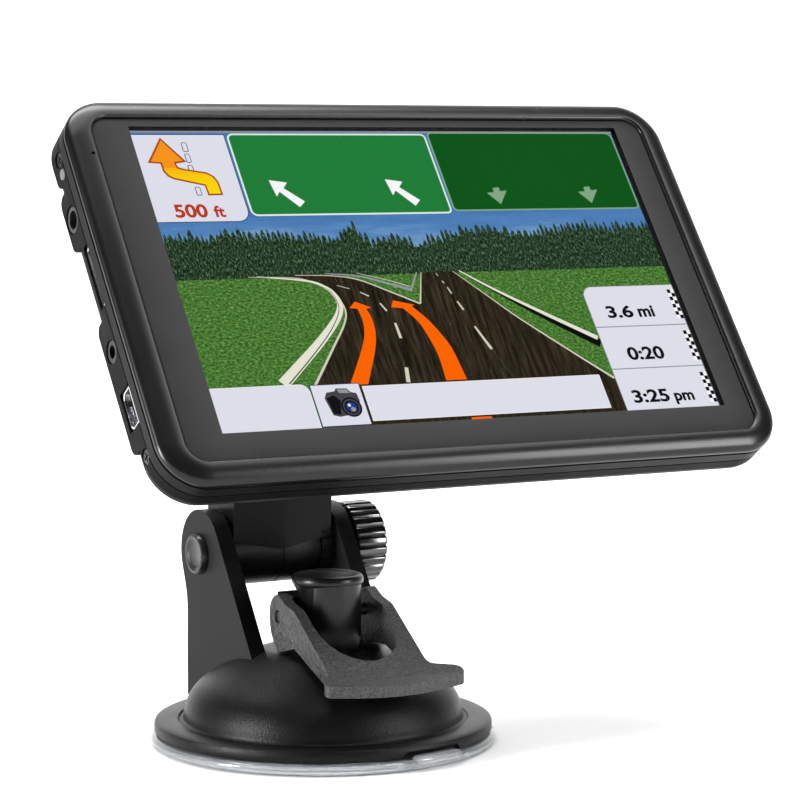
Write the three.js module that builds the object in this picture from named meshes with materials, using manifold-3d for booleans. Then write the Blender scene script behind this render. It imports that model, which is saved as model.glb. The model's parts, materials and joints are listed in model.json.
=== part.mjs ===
// Portable GPS navigator on a suction mount. Millimetres, +Z up, the screen faces -Y.
// The origin is the middle of the suction pad's underside. X runs along the tilt axis.
import * as THREE from 'three';
import { mergeVertices } from 'three/addons/utils/BufferGeometryUtils.js';
import Module from 'manifold-3d';

const wasm = await Module();
wasm.setup();

// ---------------------------------------------------------------- driving dimensions
// Clearances
const seam = 0.3; // between two mouldings that meet
const running = 0.15; // radial, between a pin and its hole
const sliding = 0.4; // beside a piece that slides

// Navigator outline. Its frame has its origin at the middle of the touch glass, +Z out of the screen.
const unit = { width: 132.4, height: 82.8, corner: 9 };
const bezel = { side: 5.2, top: 4.35, crown: 0.7, depth: 2, round: 1.6, holeCorner: 3 };
const trim = { depth: 2.2, wall: 2.2 };
const shell = { side: 2.2, round: 4, inset: 6, wall: 1.6 };
const glass = { thickness: 1.3 };
const lcd = { width: 117, height: 70.5, thickness: 3, lift: 1.3 };

// Inside the navigator
const board = { left: -58, right: 13, height: 72, thickness: 1, behindLcd: 1.9 };
const shield = { width: 26, height: 22, thickness: 1.4, x: -30, y: 12 };
const battery = { width: 40, height: 34, thickness: 3.9, x: 37, y: 3.2 };
const speaker = { radius: 10.4, thickness: 3.6, x: 37, y: -25.5, slots: 5, slotWidth: 1.2 };
const antenna = { width: 15, thickness: 3.8, x: 37, y: 29.8 };
const ribbon = { width: 20, length: 26, thickness: 0.3, x: -10, y: -14 };

// Openings in the left side wall, as heights above the middle of the glass
const headphone = { y: 19.5, radius: 2.5, bore: 1.75, length: 12, body: 6 };
const avSocket = { y: -9.4, radius: 2.1, bore: 1.25, length: 11, body: 4.6 };
const card = { y: 5.65, width: 12.6, thickness: 1.3, length: 15, slot: 0.8 };
const usb = { y: -21.6, width: 7.7, height: 3.8, wall: 0.4, length: 9 };
const lamp = { y: 28.7, radius: 1.1, length: 6 };
const pods = [
  { low: 13.2, high: 25.5, reach: 5.6 },
  { low: -29.9, high: -2.7, reach: 5.6 },
  { low: 26.6, high: 38.8, reach: 4.4 },
];
const pod = { corner: 2.1, depth: 4.2 };
const screw = { y: 31.9, headRadius: 1.4, headLength: 1, radius: 0.8, length: 4.4 };
const cross = { depth: 0.35, width: 0.4, length: 1.8 };
const lug = { length: 3.2, width: 3.6, below: 1.3 };
const micHole = { radius: 0.35, capsule: 1.4, length: 1.6, y: 28.7 };
const power = { x: -20, width: 8.6, height: 2, stand: 0.6, flange: 0.8, travel: 0.5 };
const tact = { width: 6, below: 2.8, depth: 2.4, button: 2.4, buttonDepth: 1.2, buttonLength: 0.7 };

// Slot on the back that the mount's tongue slides into
const tongue = { width: 26, web: 20, length: 28, thickness: 1.8 };
const slotBoss = { wall: 2.7, lip: 1.8, offset: -24, top: 1.5 };

// Mount
const pad = { radius: 32.4, thickness: 1.8, rise: 2, hub: 12, tabAngle: 11, tabWidth: 11, tabReach: 1.4 };
const flange = { radius: 31.7, thickness: 2.4 };
const dome = { height: 13, wall: 2.2, crown: 10, roof: 4.5, lift: 0.4 };
// Radius of the dome and height above its foot, from the foot up to the flat top
const domeSide = [
  [26.3, 0],
  [26.1, 1.4],
  [25.5, 3.1],
  [24.5, 4.8],
  [23.2, 6.2],
  [21.5, 7.5],
  [19.5, 8.7],
  [17.3, 9.9],
  [15, 11.1],
  [13, 12],
  [11, 12.6],
];
// The arm's round head runs between two angles; its edges then fall straight to the flange.
const arm = {
  inner: 11.4,
  thickness: 3.2,
  headRadius: 8.5,
  from: -20,
  to: 146,
  frontFoot: -7,
  backFoot: 28.6,
  waist: 23.5,
};
const pivot = { y: 22.7, z: 33.2, radius: 2, headRadius: 3.9, head: 1.3 };
const post = { width: 13, radius: 5.9, frontY: -1.8, backY: 6, top: 31.6, disc: 6.8, discThickness: 1.8 };
const plunger = { radius: 13.2, thickness: 2 };
const spring = { radius: 11.9, wire: 1.2, turns: 3 };
const lever = { outer: 10.3, ear: 2.2, lipLeft: 12, lipRight: 16.6, pinY: -1.5, pinZ: 24.2, thickness: 2 };
// The cam's radius below, behind and above the pin, then the rest of the side outline as (y, z)
const cam = { bottom: 6.5, back: 3.3, top: 4.2, ease: 0.9 };
const leverOutline = [
  [-4.5, 26.9],
  [-8.2, 26],
  [-22.4, 16.2],
  [-24, 15.3],
  [-27, 14.5],
  [-27, 14.5 - lever.thickness],
  [-23.4, 13.2],
  [-20.6, 14.2],
  [-8.1, 19.2],
  [-4, 18.1],
];
// Where the lever's plan changes, as y: behind the post, at the wings, at the lip's ends and its middle
const leverPlanY = { back: 4, wing: -21.4, tip: -24.6, front: -26.8, mouthEnd: -19.8 };
const leverPin = { radius: 1.1, stand: 0.2 };
const knob = { radius: 8.1, length: 6.6, flutes: 24, flute: 0.5, collar: 5, collarLength: 0.8 };
const nut = { flats: 7, length: 3.2 };
const barrel = { radius: 6.5, washer: 2.4, teeth: 24 };
const neck = { width: 21, back: 4.9, front: 6.4, brow: 7.7, foot: 0.5, rise: 13.5, facet: 1 };

// Where the navigator's frame stands from the pivot, and how far it leans back
const tilt = 36.16; // degrees
const reach = { x: -slotBoss.offset, y: 29.8, z: 49.1 };

// ---------------------------------------------------------------- shape tools
const inOrder = (a, b) => (a < b ? [a, b] : [b, a]);
const round = 24; // sides of a full circle
const fine = 48; // sides of a large circle
const xUp = new THREE.Matrix4().makeBasis(
  new THREE.Vector3(0, 1, 0),
  new THREE.Vector3(0, 0, 1),
  new THREE.Vector3(1, 0, 0),
); // shape drawn in the YZ plane, thickness along X
const zUp = new THREE.Matrix4(); // shape drawn in the XY plane, thickness along Z

function solid(geometry, matrix = zUp) {
  const bare = geometry.clone().applyMatrix4(matrix);
  bare.deleteAttribute('normal');
  bare.deleteAttribute('uv');
  const merged = mergeVertices(bare, 1e-4);
  const corners = merged.attributes.position;
  const triangles = new Uint32Array(merged.index.array);
  let volume = 0;
  const [a, b, c] = [new THREE.Vector3(), new THREE.Vector3(), new THREE.Vector3()];
  for (let i = 0; i < triangles.length; i += 3) {
    a.fromBufferAttribute(corners, triangles[i]);
    b.fromBufferAttribute(corners, triangles[i + 1]);
    c.fromBufferAttribute(corners, triangles[i + 2]);
    volume += a.dot(b.cross(c));
  }
  if (volume < 0) {
    for (let i = 0; i < triangles.length; i += 3) {
      [triangles[i + 1], triangles[i + 2]] = [triangles[i + 2], triangles[i + 1]];
    }
  }
  const mesh = new wasm.Mesh({
    numProp: 3,
    vertProperties: new Float32Array(corners.array),
    triVerts: triangles,
  });
  return new wasm.Manifold(mesh);
}

function geometryOf(manifold) {
  const mesh = manifold.getMesh();
  const geometry = new THREE.BufferGeometry();
  geometry.setAttribute('position', new THREE.BufferAttribute(mesh.vertProperties, 3));
  geometry.setIndex(new THREE.BufferAttribute(mesh.triVerts, 1));
  const flat = geometry.toNonIndexed();
  flat.computeVertexNormals();
  return flat;
}

// A shape made thick from `low` to `low + depth`; bevel rounds both ends inside that depth.
function slab(shape, low, depth, bevel = null, matrix = zUp) {
  const cap = bevel ? bevel.depth : 0;
  const geometry = new THREE.ExtrudeGeometry(shape, {
    depth: depth - 2 * cap,
    curveSegments: bevel && bevel.curve ? bevel.curve : 6,
    bevelEnabled: Boolean(bevel),
    bevelThickness: cap,
    bevelSize: bevel ? bevel.size : 0,
    bevelOffset: bevel ? -bevel.size : 0,
    bevelSegments: bevel ? bevel.steps : 0,
  });
  geometry.translate(0, 0, low + cap);
  return solid(geometry, matrix);
}

function box(x0, x1, y0, y1, z0, z1) {
  const geometry = new THREE.BoxGeometry(x1 - x0, y1 - y0, z1 - z0);
  geometry.translate((x0 + x1) / 2, (y0 + y1) / 2, (z0 + z1) / 2);
  return solid(geometry);
}

function rod(radius, x0, x1, y, z, sides = round) {
  const geometry = new THREE.CylinderGeometry(radius, radius, x1 - x0, sides);
  geometry.rotateZ(Math.PI / 2);
  geometry.translate((x0 + x1) / 2, y, z);
  return solid(geometry);
}

function column(radius, z0, z1, x, y, sides = round) {
  const geometry = new THREE.CylinderGeometry(radius, radius, z1 - z0, sides);
  geometry.rotateX(Math.PI / 2);
  geometry.translate(x, y, (z0 + z1) / 2);
  return solid(geometry);
}

// points are [radius, height]; the axis is Z, or X with `alongX`
function turned(points, sides, alongX = false) {
  const profile = points.map(([r, h]) => new THREE.Vector2(r, h));
  const geometry = new THREE.LatheGeometry(profile, sides);
  if (alongX) geometry.rotateZ(-Math.PI / 2);
  else geometry.rotateX(Math.PI / 2);
  return solid(geometry);
}

function roundedRectangle(width, height, corner, x = 0, y = 0) {
  const shape = new THREE.Shape();
  const [left, right] = [x - width / 2, x + width / 2];
  const [low, high] = [y - height / 2, y + height / 2];
  shape.moveTo(left + corner, low);
  shape.lineTo(right - corner, low);
  shape.absarc(right - corner, low + corner, corner, -Math.PI / 2, 0, false);
  shape.lineTo(right, high - corner);
  shape.absarc(right - corner, high - corner, corner, 0, Math.PI / 2, false);
  shape.lineTo(left + corner, high);
  shape.absarc(left + corner, high - corner, corner, Math.PI / 2, Math.PI, false);
  shape.lineTo(left, low + corner);
  shape.absarc(left + corner, low + corner, corner, Math.PI, 1.5 * Math.PI, false);
  return shape;
}

function outline(points) {
  return new THREE.Shape(points.map(([x, y]) => new THREE.Vector2(x, y)));
}

// ---------------------------------------------------------------- scene graph
const model = new THREE.Group();
const mountGroup = new THREE.Group();
const leaning = new THREE.Group();
leaning.position.set(0, pivot.y, pivot.z);
leaning.rotation.x = THREE.MathUtils.degToRad(90 - tilt);
const navigator = new THREE.Group();
navigator.position.set(reach.x, reach.y, reach.z);
leaning.add(navigator);
model.add(mountGroup, leaning);

function piece(parent, name, manifold, color, roughness, metalness = 0) {
  const material = new THREE.MeshStandardMaterial({ color, roughness, metalness });
  const mesh = new THREE.Mesh(geometryOf(manifold), material);
  mesh.name = name;
  parent.add(mesh);
}

const colours = {
  gloss: 0x0c0c0d,
  matt: 0x232324,
  satin: 0x4a4a4c,
  glass: 0x454545,
  metal: 0xb9bcc0,
  gold: 0xc9a45a,
  green: 0x1f5b39,
  clear: 0xd8dcdf,
};

// ---------------------------------------------------------------- navigator levels, front to back
const bezelBack = -bezel.depth;
const trimFront = bezelBack - seam;
const trimBack = trimFront - trim.depth;
const shellFront = trimBack - seam;
const shellBack = shellFront - shell.side - shell.round;
const shellInside = shellBack + shell.wall;
const lcdFront = -glass.thickness - seam;
const lcdBack = lcdFront - lcd.thickness;
const boardFront = lcdBack - board.behindLcd;
const boardBack = boardFront - board.thickness;
const backPieces = shellInside + seam; // behind this nothing inside may reach
const left = -unit.width / 2;
const leftInside = left + shell.wall;
const topInside = unit.height / 2 - shell.wall;
const glassWidth = unit.width - 2 * bezel.side;
const glassHeight = unit.height - 2 * bezel.top;

function screenHalf() {
  const frame = roundedRectangle(unit.width, unit.height, unit.corner);
  const window = roundedRectangle(
    glassWidth + 2 * seam,
    glassHeight + 2 * seam,
    bezel.holeCorner + seam,
  );
  const depth = bezel.depth + bezel.crown;
  const bevel = { depth: bezel.round, size: bezel.round, steps: 3 };
  const front = slab(frame, bezelBack - bezel.round, depth + bezel.round, bevel)
    .subtract(box(left, -left, left, -left, bezelBack - 2 * bezel.round, bezelBack))
    .subtract(slab(window, bezelBack - 1, depth + 2))
    .subtract(column(micHole.radius, bezelBack - 1, bezel.crown + 1, micX(), micHole.y, 12));
  piece(navigator, 'front_bezel', front, colours.gloss, 0.15);
  const panel = roundedRectangle(glassWidth, glassHeight, bezel.holeCorner);
  piece(navigator, 'touch_panel', slab(panel, -glass.thickness, glass.thickness), colours.glass, 0.2);
  const display = box(
    -lcd.width / 2,
    lcd.width / 2,
    lcd.lift - lcd.height / 2,
    lcd.lift + lcd.height / 2,
    lcdBack,
    lcdFront,
  );
  piece(navigator, 'lcd_module', display, colours.metal, 0.4, 0.6);
}

function micX() {
  return left + bezel.side - seam - 3 * micHole.radius;
}

function screwSites() {
  const sites = [];
  for (const side of [-1, 1]) for (const y of [screw.y, -screw.y]) sites.push({ side, y });
  return sites;
}

const screwZ = shellFront - shell.side / 2 - 0.2;
const screwHeadOut = unit.width / 2 - 0.3; // outer end of a screw head

function trimRing() {
  const outer = roundedRectangle(unit.width, unit.height, unit.corner);
  const inner = roundedRectangle(
    unit.width - 2 * trim.wall,
    unit.height - 2 * trim.wall,
    unit.corner - trim.wall,
  );
  let ring = slab(outer, trimBack, trim.depth).subtract(slab(inner, trimBack - 1, trim.depth + 2));
  const lugOut = unit.width / 2 - shell.wall - seam;
  for (const { side, y } of screwSites()) {
    const [x0, x1] = inOrder(side * lugOut, side * (lugOut - lug.length));
    const block = box(x0, x1, y - lug.width / 2, y + lug.width / 2, screwZ - lug.below, trimFront);
    ring = ring.add(block);
  }
  for (const { side, y } of screwSites()) {
    const [x0, x1] = inOrder(side * (unit.width / 2 + 1), side * (lugOut - lug.length - 1));
    ring = ring.subtract(rod(screw.radius + running, x0, x1, y, screwZ, 12));
  }
  piece(navigator, 'trim_ring', ring, colours.satin, 0.45, 0.3);
}

function shellBody(width, height, corner, depth, inset, rounding) {
  const bevel = { depth: rounding, size: inset, steps: 4 };
  const full = slab(
    roundedRectangle(width, height, corner),
    shellFront - depth,
    depth + 2 * rounding,
    bevel,
  );
  return full.subtract(box(-width, width, -width, width, shellFront, shellFront + 3 * rounding));
}

function podSolid({ low, high, reach: back }) {
  const shape = roundedRectangle(back, high - low, pod.corner, 0, (low + high) / 2);
  const turn = new THREE.Matrix4().makeBasis(
    new THREE.Vector3(0, 0, 1),
    new THREE.Vector3(0, 1, 0),
    new THREE.Vector3(-1, 0, 0),
  ); // drawn depth by height, thickness along X
  const block = slab(shape, -left - pod.depth, pod.depth, null, turn);
  return block.translate([0, 0, shellFront - back / 2]);
}

const jackZ = shellFront - headphone.radius - running - 0.1;
const avZ = shellFront - avSocket.radius - running - 0.2;
const cardZ = shellFront - card.thickness / 2 - running;
const usbZ = shellFront - usb.height / 2 - running;

function rearCase() {
  let body = shellBody(
    unit.width,
    unit.height,
    unit.corner,
    shell.side + shell.round,
    shell.inset,
    shell.round,
  );
  const outerColumn = slab(
    roundedRectangle(unit.width, unit.height, unit.corner),
    shellBack,
    shellFront - shellBack,
  );
  for (const each of pods) body = body.add(podSolid(each).intersect(outerColumn));
  const hollow = shellBody(
    unit.width - 2 * shell.wall,
    unit.height - 2 * shell.wall,
    unit.corner - shell.wall,
    shell.side + shell.round - shell.wall,
    shell.inset - shell.wall,
    shell.round - shell.wall,
  );
  body = body.subtract(hollow.translate([0, 0, 0.01]));
  body = body.add(slotRails());
  body = body.subtract(slotSpace());
  const inward = left + shell.wall + shell.inset;
  const outward = left - 1;
  body = body.subtract(rod(headphone.radius + running, outward, inward, headphone.y, jackZ));
  body = body.subtract(rod(avSocket.radius + running, outward, inward, avSocket.y, avZ));
  body = body.subtract(rod(lamp.radius + running, outward, inward, lamp.y, screwZ, 16));
  const cardHalf = card.width / 2 + sliding;
  const cardGap = card.thickness / 2 + running;
  body = body.subtract(
    box(outward, inward, card.y - cardHalf, card.y + cardHalf, cardZ - cardGap, shellFront + 1),
  );
  const usbHalf = usb.width / 2 + running;
  const usbGap = usb.height / 2 + running;
  body = body.subtract(
    box(outward, inward, usb.y - usbHalf, usb.y + usbHalf, usbZ - usbGap, shellFront + 1),
  );
  for (const { side, y } of screwSites()) {
    const [x0, x1] = inOrder(side * (unit.width / 2 + 1), side * (unit.width / 2 - 2 * shell.wall));
    body = body.subtract(rod(screw.radius + running, x0, x1, y, screwZ, 12));
    const [h0, h1] = inOrder(side * (unit.width / 2 + 1), side * (screwHeadOut - screw.headLength - 0.1));
    body = body.subtract(rod(screw.headRadius + running, h0, h1, y, screwZ, 16));
  }
  const powerZ = powerMiddle();
  const buttonHalf = power.width / 2 + seam;
  const buttonGap = power.height / 2 + seam;
  body = body.subtract(
    box(
      power.x - buttonHalf,
      power.x + buttonHalf,
      topInside - 1,
      unit.height / 2 + 1,
      powerZ - buttonGap,
      powerZ + buttonGap,
    ),
  );
  for (let i = 0; i < speaker.slots; i += 1) {
    const y = speaker.y + (i - (speaker.slots - 1) / 2) * 2.5 * speaker.slotWidth;
    const half = Math.sqrt((0.8 * speaker.radius) ** 2 - (y - speaker.y) ** 2);
    const [y0, y1] = [y - speaker.slotWidth / 2, y + speaker.slotWidth / 2];
    body = body.subtract(
      box(speaker.x - half, speaker.x + half, y0, y1, shellBack - 1, shellInside + 1),
    );
  }
  piece(navigator, 'rear_case', body, colours.matt, 0.6);
}

function powerMiddle() {
  return shellFront - shell.side / 2 - seam;
}

// The boss on the back that holds the tongue: closed at the top, open at the bottom.
const tongueTop = 0; // height of the tongue's end above the middle of the glass
const tongueFront = shellBack - seam;
const tongueBack = tongueFront - tongue.thickness;
const bossBack = tongueBack - seam - slotBoss.lip;

function slotRails() {
  const half = tongue.width / 2 + seam + slotBoss.wall;
  const shape = roundedRectangle(
    2 * half,
    tongue.length + slotBoss.top + slotBoss.wall,
    slotBoss.wall,
    slotBoss.offset,
    tongueTop - tongue.length / 2 + (slotBoss.top + slotBoss.wall) / 2,
  );
  return slab(shape, bossBack, shellBack - bossBack + shell.wall / 2);
}

function slotSpace() {
  const low = tongueTop - tongue.length - 1;
  const high = tongueTop + seam;
  const wide = tongue.width / 2 + seam;
  const narrow = tongue.web / 2 + seam;
  const x = slotBoss.offset;
  const flangeSpace = box(x - wide, x + wide, low, high, tongueBack - seam, shellBack);
  const webSpace = box(x - narrow, x + narrow, low, high, bossBack - 1, tongueBack);
  return flangeSpace.add(webSpace);
}

function sideScrews() {
  screwSites().forEach(({ side, y }, index) => {
    const [h0, h1] = inOrder(side * screwHeadOut, side * (screwHeadOut - screw.headLength));
    const tip = screwHeadOut - screw.headLength - screw.length;
    const [s0, s1] = inOrder(side * tip, side * (screwHeadOut - screw.headLength / 2));
    const head = rod(screw.headRadius, h0, h1, y, screwZ, 16);
    const shank = rod(screw.radius, s0, s1, y, screwZ, 12);
    const [c0, c1] = inOrder(side * (screwHeadOut + 1), side * (screwHeadOut - cross.depth));
    const [thin, long] = [cross.width / 2, cross.length / 2];
    const arms = box(c0, c1, y - thin, y + thin, screwZ - long, screwZ + long)
      .add(box(c0, c1, y - long, y + long, screwZ - thin, screwZ + thin));
    piece(navigator, `case_screw_${index + 1}`, head.add(shank).subtract(arms), colours.metal, 0.3, 0.9);
  });
}

// ---------------------------------------------------------------- electronics
const jackX = left + 0.2;

function electronics() {
  const switchWidth = tact.width;
  const switchLow = board.height / 2 - tact.below;
  const buttonLow = topInside - 0.2 - power.flange;
  const switchHigh = buttonLow - power.travel - 0.2;
  const powerZ = powerMiddle();
  let pcb = box(board.left, board.right, -board.height / 2, board.height / 2, boardBack, boardFront);
  const notch = (x0, x1, y, width) =>
    box(x0, x1, y - width / 2 - seam, y + width / 2 + seam, boardBack - 1, boardFront + 1);
  pcb = pcb.subtract(notch(left, jackX + headphone.length + seam, headphone.y, headphone.body));
  pcb = pcb.subtract(notch(left, jackX + avSocket.length + seam, avSocket.y, avSocket.body));
  pcb = pcb.subtract(notch(left, left + usb.length + seam, usb.y, usb.width));
  pcb = pcb.subtract(
    box(
      power.x - switchWidth / 2 - seam,
      power.x + switchWidth / 2 + seam,
      switchLow - seam,
      board.height,
      boardBack - 1,
      boardFront + 1,
    ),
  );
  piece(navigator, 'main_board', pcb, colours.green, 0.5);

  const can = box(
    shield.x - shield.width / 2,
    shield.x + shield.width / 2,
    shield.y - shield.height / 2,
    shield.y + shield.height / 2,
    boardBack - seam - shield.thickness + 0.1,
    boardBack - seam / 2,
  );
  piece(navigator, 'rf_shield', can, colours.metal, 0.35, 0.9);

  const cell = slab(
    roundedRectangle(battery.width, battery.height, 1.5, battery.x, battery.y),
    backPieces,
    battery.thickness,
  );
  piece(navigator, 'battery', cell, colours.metal, 0.4, 0.5);

  const cone = column(
    speaker.radius,
    backPieces,
    backPieces + speaker.thickness,
    speaker.x,
    speaker.y,
    fine / 2,
  );
  piece(navigator, 'speaker', cone, colours.matt, 0.6);

  const patch = slab(
    roundedRectangle(antenna.width, antenna.width, 1, antenna.x, antenna.y),
    backPieces,
    antenna.thickness,
  );
  piece(navigator, 'gps_antenna', patch, colours.gold, 0.5);

  piece(navigator, 'headphone_socket', jackSolid(headphone, jackZ), colours.metal, 0.25, 0.8);
  piece(navigator, 'av_socket', jackSolid(avSocket, avZ), colours.matt, 0.5);

  const slot = card.slot / 2;
  const cage = box(
    left + 0.4,
    left + 0.4 + card.length,
    card.y - card.width / 2,
    card.y + card.width / 2,
    cardZ - card.thickness / 2,
    cardZ + card.thickness / 2,
  ).subtract(
    box(
      left,
      left + card.length - 1,
      card.y - card.width / 2 + 0.6,
      card.y + card.width / 2 - 0.6,
      cardZ - slot,
      cardZ + slot,
    ),
  );
  piece(navigator, 'card_socket', cage, colours.metal, 0.3, 0.9);
  piece(navigator, 'usb_socket', usbSolid(), colours.metal, 0.3, 0.9);

  piece(
    navigator,
    'light_pipe',
    rod(lamp.radius, left - 0.1, left + lamp.length, lamp.y, screwZ, 16),
    colours.clear,
    0.3,
  );
  const capsule = column(
    micHole.capsule,
    trimFront - micHole.length,
    trimFront - 0.1,
    left + trim.wall + seam + micHole.capsule,
    micHole.y,
    16,
  );
  piece(navigator, 'microphone', capsule, colours.metal, 0.4, 0.6);

  const stem = box(
    power.x - power.width / 2,
    power.x + power.width / 2,
    buttonLow + power.flange / 2,
    unit.height / 2 + power.stand,
    powerZ - power.height / 2,
    powerZ + power.height / 2,
  );
  const lip = box(
    power.x - power.width / 2 - 1,
    power.x + power.width / 2 + 1,
    buttonLow,
    buttonLow + power.flange,
    powerZ - power.height / 2 - seam,
    powerZ + power.height / 2 + seam,
  );
  piece(navigator, 'power_button', stem.add(lip), colours.gloss, 0.3);
  const switchBody = box(
    power.x - switchWidth / 2,
    power.x + switchWidth / 2,
    switchLow,
    switchHigh - tact.buttonLength,
    powerZ - tact.depth / 2,
    powerZ + tact.depth / 2,
  ).add(
    box(
      power.x - tact.button / 2,
      power.x + tact.button / 2,
      switchHigh - 1,
      switchHigh,
      powerZ - tact.buttonDepth / 2,
      powerZ + tact.buttonDepth / 2,
    ),
  );
  piece(navigator, 'power_switch', switchBody, colours.metal, 0.4, 0.5);

  const high = ribbon.y + ribbon.length / 2;
  const low = ribbon.y - ribbon.length / 2;
  const near = lcdBack - seam;
  const far = boardFront + seam;
  const strip = outline([
    [low, near],
    [low, near - ribbon.thickness],
    [high - 3, near - ribbon.thickness],
    [high - 2, far],
    [high, far],
    [high, far + ribbon.thickness],
    [high - 2 + ribbon.thickness, far + ribbon.thickness],
    [high - 3 + ribbon.thickness, near],
  ]);
  const film = slab(strip, ribbon.x - ribbon.width / 2, ribbon.width, null, xUp);
  piece(navigator, 'lcd_ribbon', film, colours.gold, 0.5);
}

// A round socket: collar in the side wall and a square body behind it.
function jackSolid(socket, z) {
  const back = Math.max(z - socket.body / 2, backPieces);
  const front = Math.min(z + socket.body / 2, lcdBack - seam);
  const bodyX = leftInside + shell.inset - shell.wall + seam;
  const collar = rod(socket.radius, jackX, bodyX + 1, socket.y, z);
  const body = box(
    bodyX,
    jackX + socket.length,
    socket.y - socket.body / 2,
    socket.y + socket.body / 2,
    back,
    front,
  );
  return collar.add(body).subtract(rod(socket.bore, jackX - 1, jackX + socket.length - 1, socket.y, z, 16));
}

function usbSolid() {
  const [y0, y1] = [usb.y - usb.width / 2, usb.y + usb.width / 2];
  const [z0, z1] = [usbZ - usb.height / 2, usbZ + usb.height / 2];
  const x0 = left + 0.3;
  const cut = 1.1;
  const section = (grow) => {
    const shape = outline([
      [y0 + grow, z1 - grow],
      [y0 + grow, z0 + cut + grow / 2],
      [y0 + cut + grow / 2, z0 + grow],
      [y1 - cut - grow / 2, z0 + grow],
      [y1 - grow, z0 + cut + grow / 2],
      [y1 - grow, z1 - grow],
    ]);
    return shape;
  };
  const outer = slab(section(0), x0, usb.length, null, xUp);
  const inner = slab(section(usb.wall), x0 - 1, usb.length, null, xUp);
  const blade = box(x0 + 1.5, x0 + usb.length - 0.5, y0 + 1.9, y1 - 1.9, usbZ - 0.3, usbZ + 0.5);
  return outer.subtract(inner).add(blade);
}

// ---------------------------------------------------------------- mount
const flangeLow = pad.thickness + 0.2;
const flangeHigh = flangeLow + flange.thickness;
const domeTop = flangeHigh + dome.height;
const armOuter = arm.inner + arm.thickness;
const stemBase = pad.thickness + pad.rise + 0.2;
const plungerTop = stemBase + plunger.thickness;
const domeRoof = domeTop - dome.roof; // ceiling of the space under the dome
const springTop = domeRoof - seam;

// Quarter of a flattened curve from the dome's foot to its flat top.
function domeProfile(radius, low, top, flat) {
  const steps = 8;
  const points = [];
  for (let i = 0; i <= steps; i += 1) {
    const angle = (i / steps) * (Math.PI / 2);
    points.push([
      flat + (radius - flat) * Math.cos(angle),
      low + (top - low) * Math.sin(angle),
    ]);
  }
  return points;
}

function postOutline(grow = 0) {
  const half = post.width / 2 + grow;
  const radius = post.radius + grow;
  const shape = new THREE.Shape();
  shape.moveTo(half, post.backY + grow);
  shape.lineTo(-half, post.backY + grow);
  shape.lineTo(-half, post.frontY + 1 - grow);
  shape.lineTo(-radius, post.frontY);
  shape.absarc(0, post.frontY, radius, Math.PI, 2 * Math.PI, false);
  shape.lineTo(half, post.frontY + 1 - grow);
  shape.lineTo(half, post.backY + grow);
  return shape;
}

function armShape() {
  const steps = 10;
  const points = [];
  for (let i = 0; i <= steps; i += 1) {
    const angle = THREE.MathUtils.degToRad(arm.from + ((arm.to - arm.from) * i) / steps);
    points.push([
      pivot.y + arm.headRadius * Math.cos(angle),
      pivot.z + arm.headRadius * Math.sin(angle),
    ]);
  }
  points.push([arm.frontFoot, flangeHigh]);
  points.push([arm.backFoot, flangeHigh]);
  points.push([arm.backFoot, arm.waist]);
  return outline(points);
}

function baseHousing() {
  const foot = flangeHigh + dome.lift;
  const rim = domeSide[0][0];
  const outside = turned(
    [
      [0, flangeLow],
      [flange.radius - 0.5, flangeLow],
      [flange.radius, flangeLow + 0.6],
      [flange.radius, flangeHigh - 0.7],
      [flange.radius - 0.7, flangeHigh],
      [rim + 1, flangeHigh],
      [rim + 0.6, foot - 0.7],
      ...domeSide.map(([radius, height]) => [radius, foot + height]),
      [0, domeTop],
    ],
    fine,
  );
  let body = outside;
  for (const side of [-1, 1]) {
    const x = side > 0 ? arm.inner : -armOuter;
    body = body.add(slab(armShape(), x, arm.thickness, null, xUp));
  }
  const inner = turned(
    [
      [0, flangeLow - 1],
      [rim - dome.wall, flangeLow - 1],
      ...domeProfile(rim - dome.wall, foot, domeRoof, dome.crown),
      [0, domeRoof],
    ],
    fine,
  );
  body = body.subtract(inner);
  body = body.subtract(slab(postOutline(sliding), flangeLow, dome.height + 10));
  body = body.subtract(rod(pivot.radius + running, -armOuter - 1, armOuter + 1, pivot.y, pivot.z));
  const angle = THREE.MathUtils.degToRad(pad.tabAngle - 90);
  const notch = box(-1, 2.5, -pad.tabWidth / 2 - sliding, pad.tabWidth / 2 + sliding, 0, flangeLow + 1.2)
    .rotate([0, 0, pad.tabAngle - 90])
    .translate([flange.radius * Math.cos(angle), flange.radius * Math.sin(angle), 0]);
  piece(mountGroup, 'base_housing', body.subtract(notch), colours.matt, 0.5);
}

function suctionPad() {
  const body = turned(
    [
      [0, 0],
      [pad.radius - 0.6, 0],
      [pad.radius, 0.4],
      [pad.radius, pad.thickness - 0.5],
      [pad.radius - 0.6, pad.thickness],
      [pad.hub, pad.thickness],
      [pad.hub - 0.5, pad.thickness + pad.rise],
      [0, pad.thickness + pad.rise],
    ],
    fine,
  );
  const angle = THREE.MathUtils.degToRad(pad.tabAngle - 90);
  const tab = box(-2, pad.tabReach, -pad.tabWidth / 2, pad.tabWidth / 2, 0.2, flangeLow + 0.9)
    .rotate([0, 0, pad.tabAngle - 90])
    .translate([pad.radius * Math.cos(angle), pad.radius * Math.sin(angle), 0]);
  const rim = turned(
    [
      [0, 0],
      [flange.radius + 0.3, 0],
      [flange.radius + 0.3, flangeHigh],
      [0, flangeHigh],
    ],
    fine,
  );
  piece(mountGroup, 'suction_pad', body.add(tab.subtract(rim)), colours.clear, 0.2);
}

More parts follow.
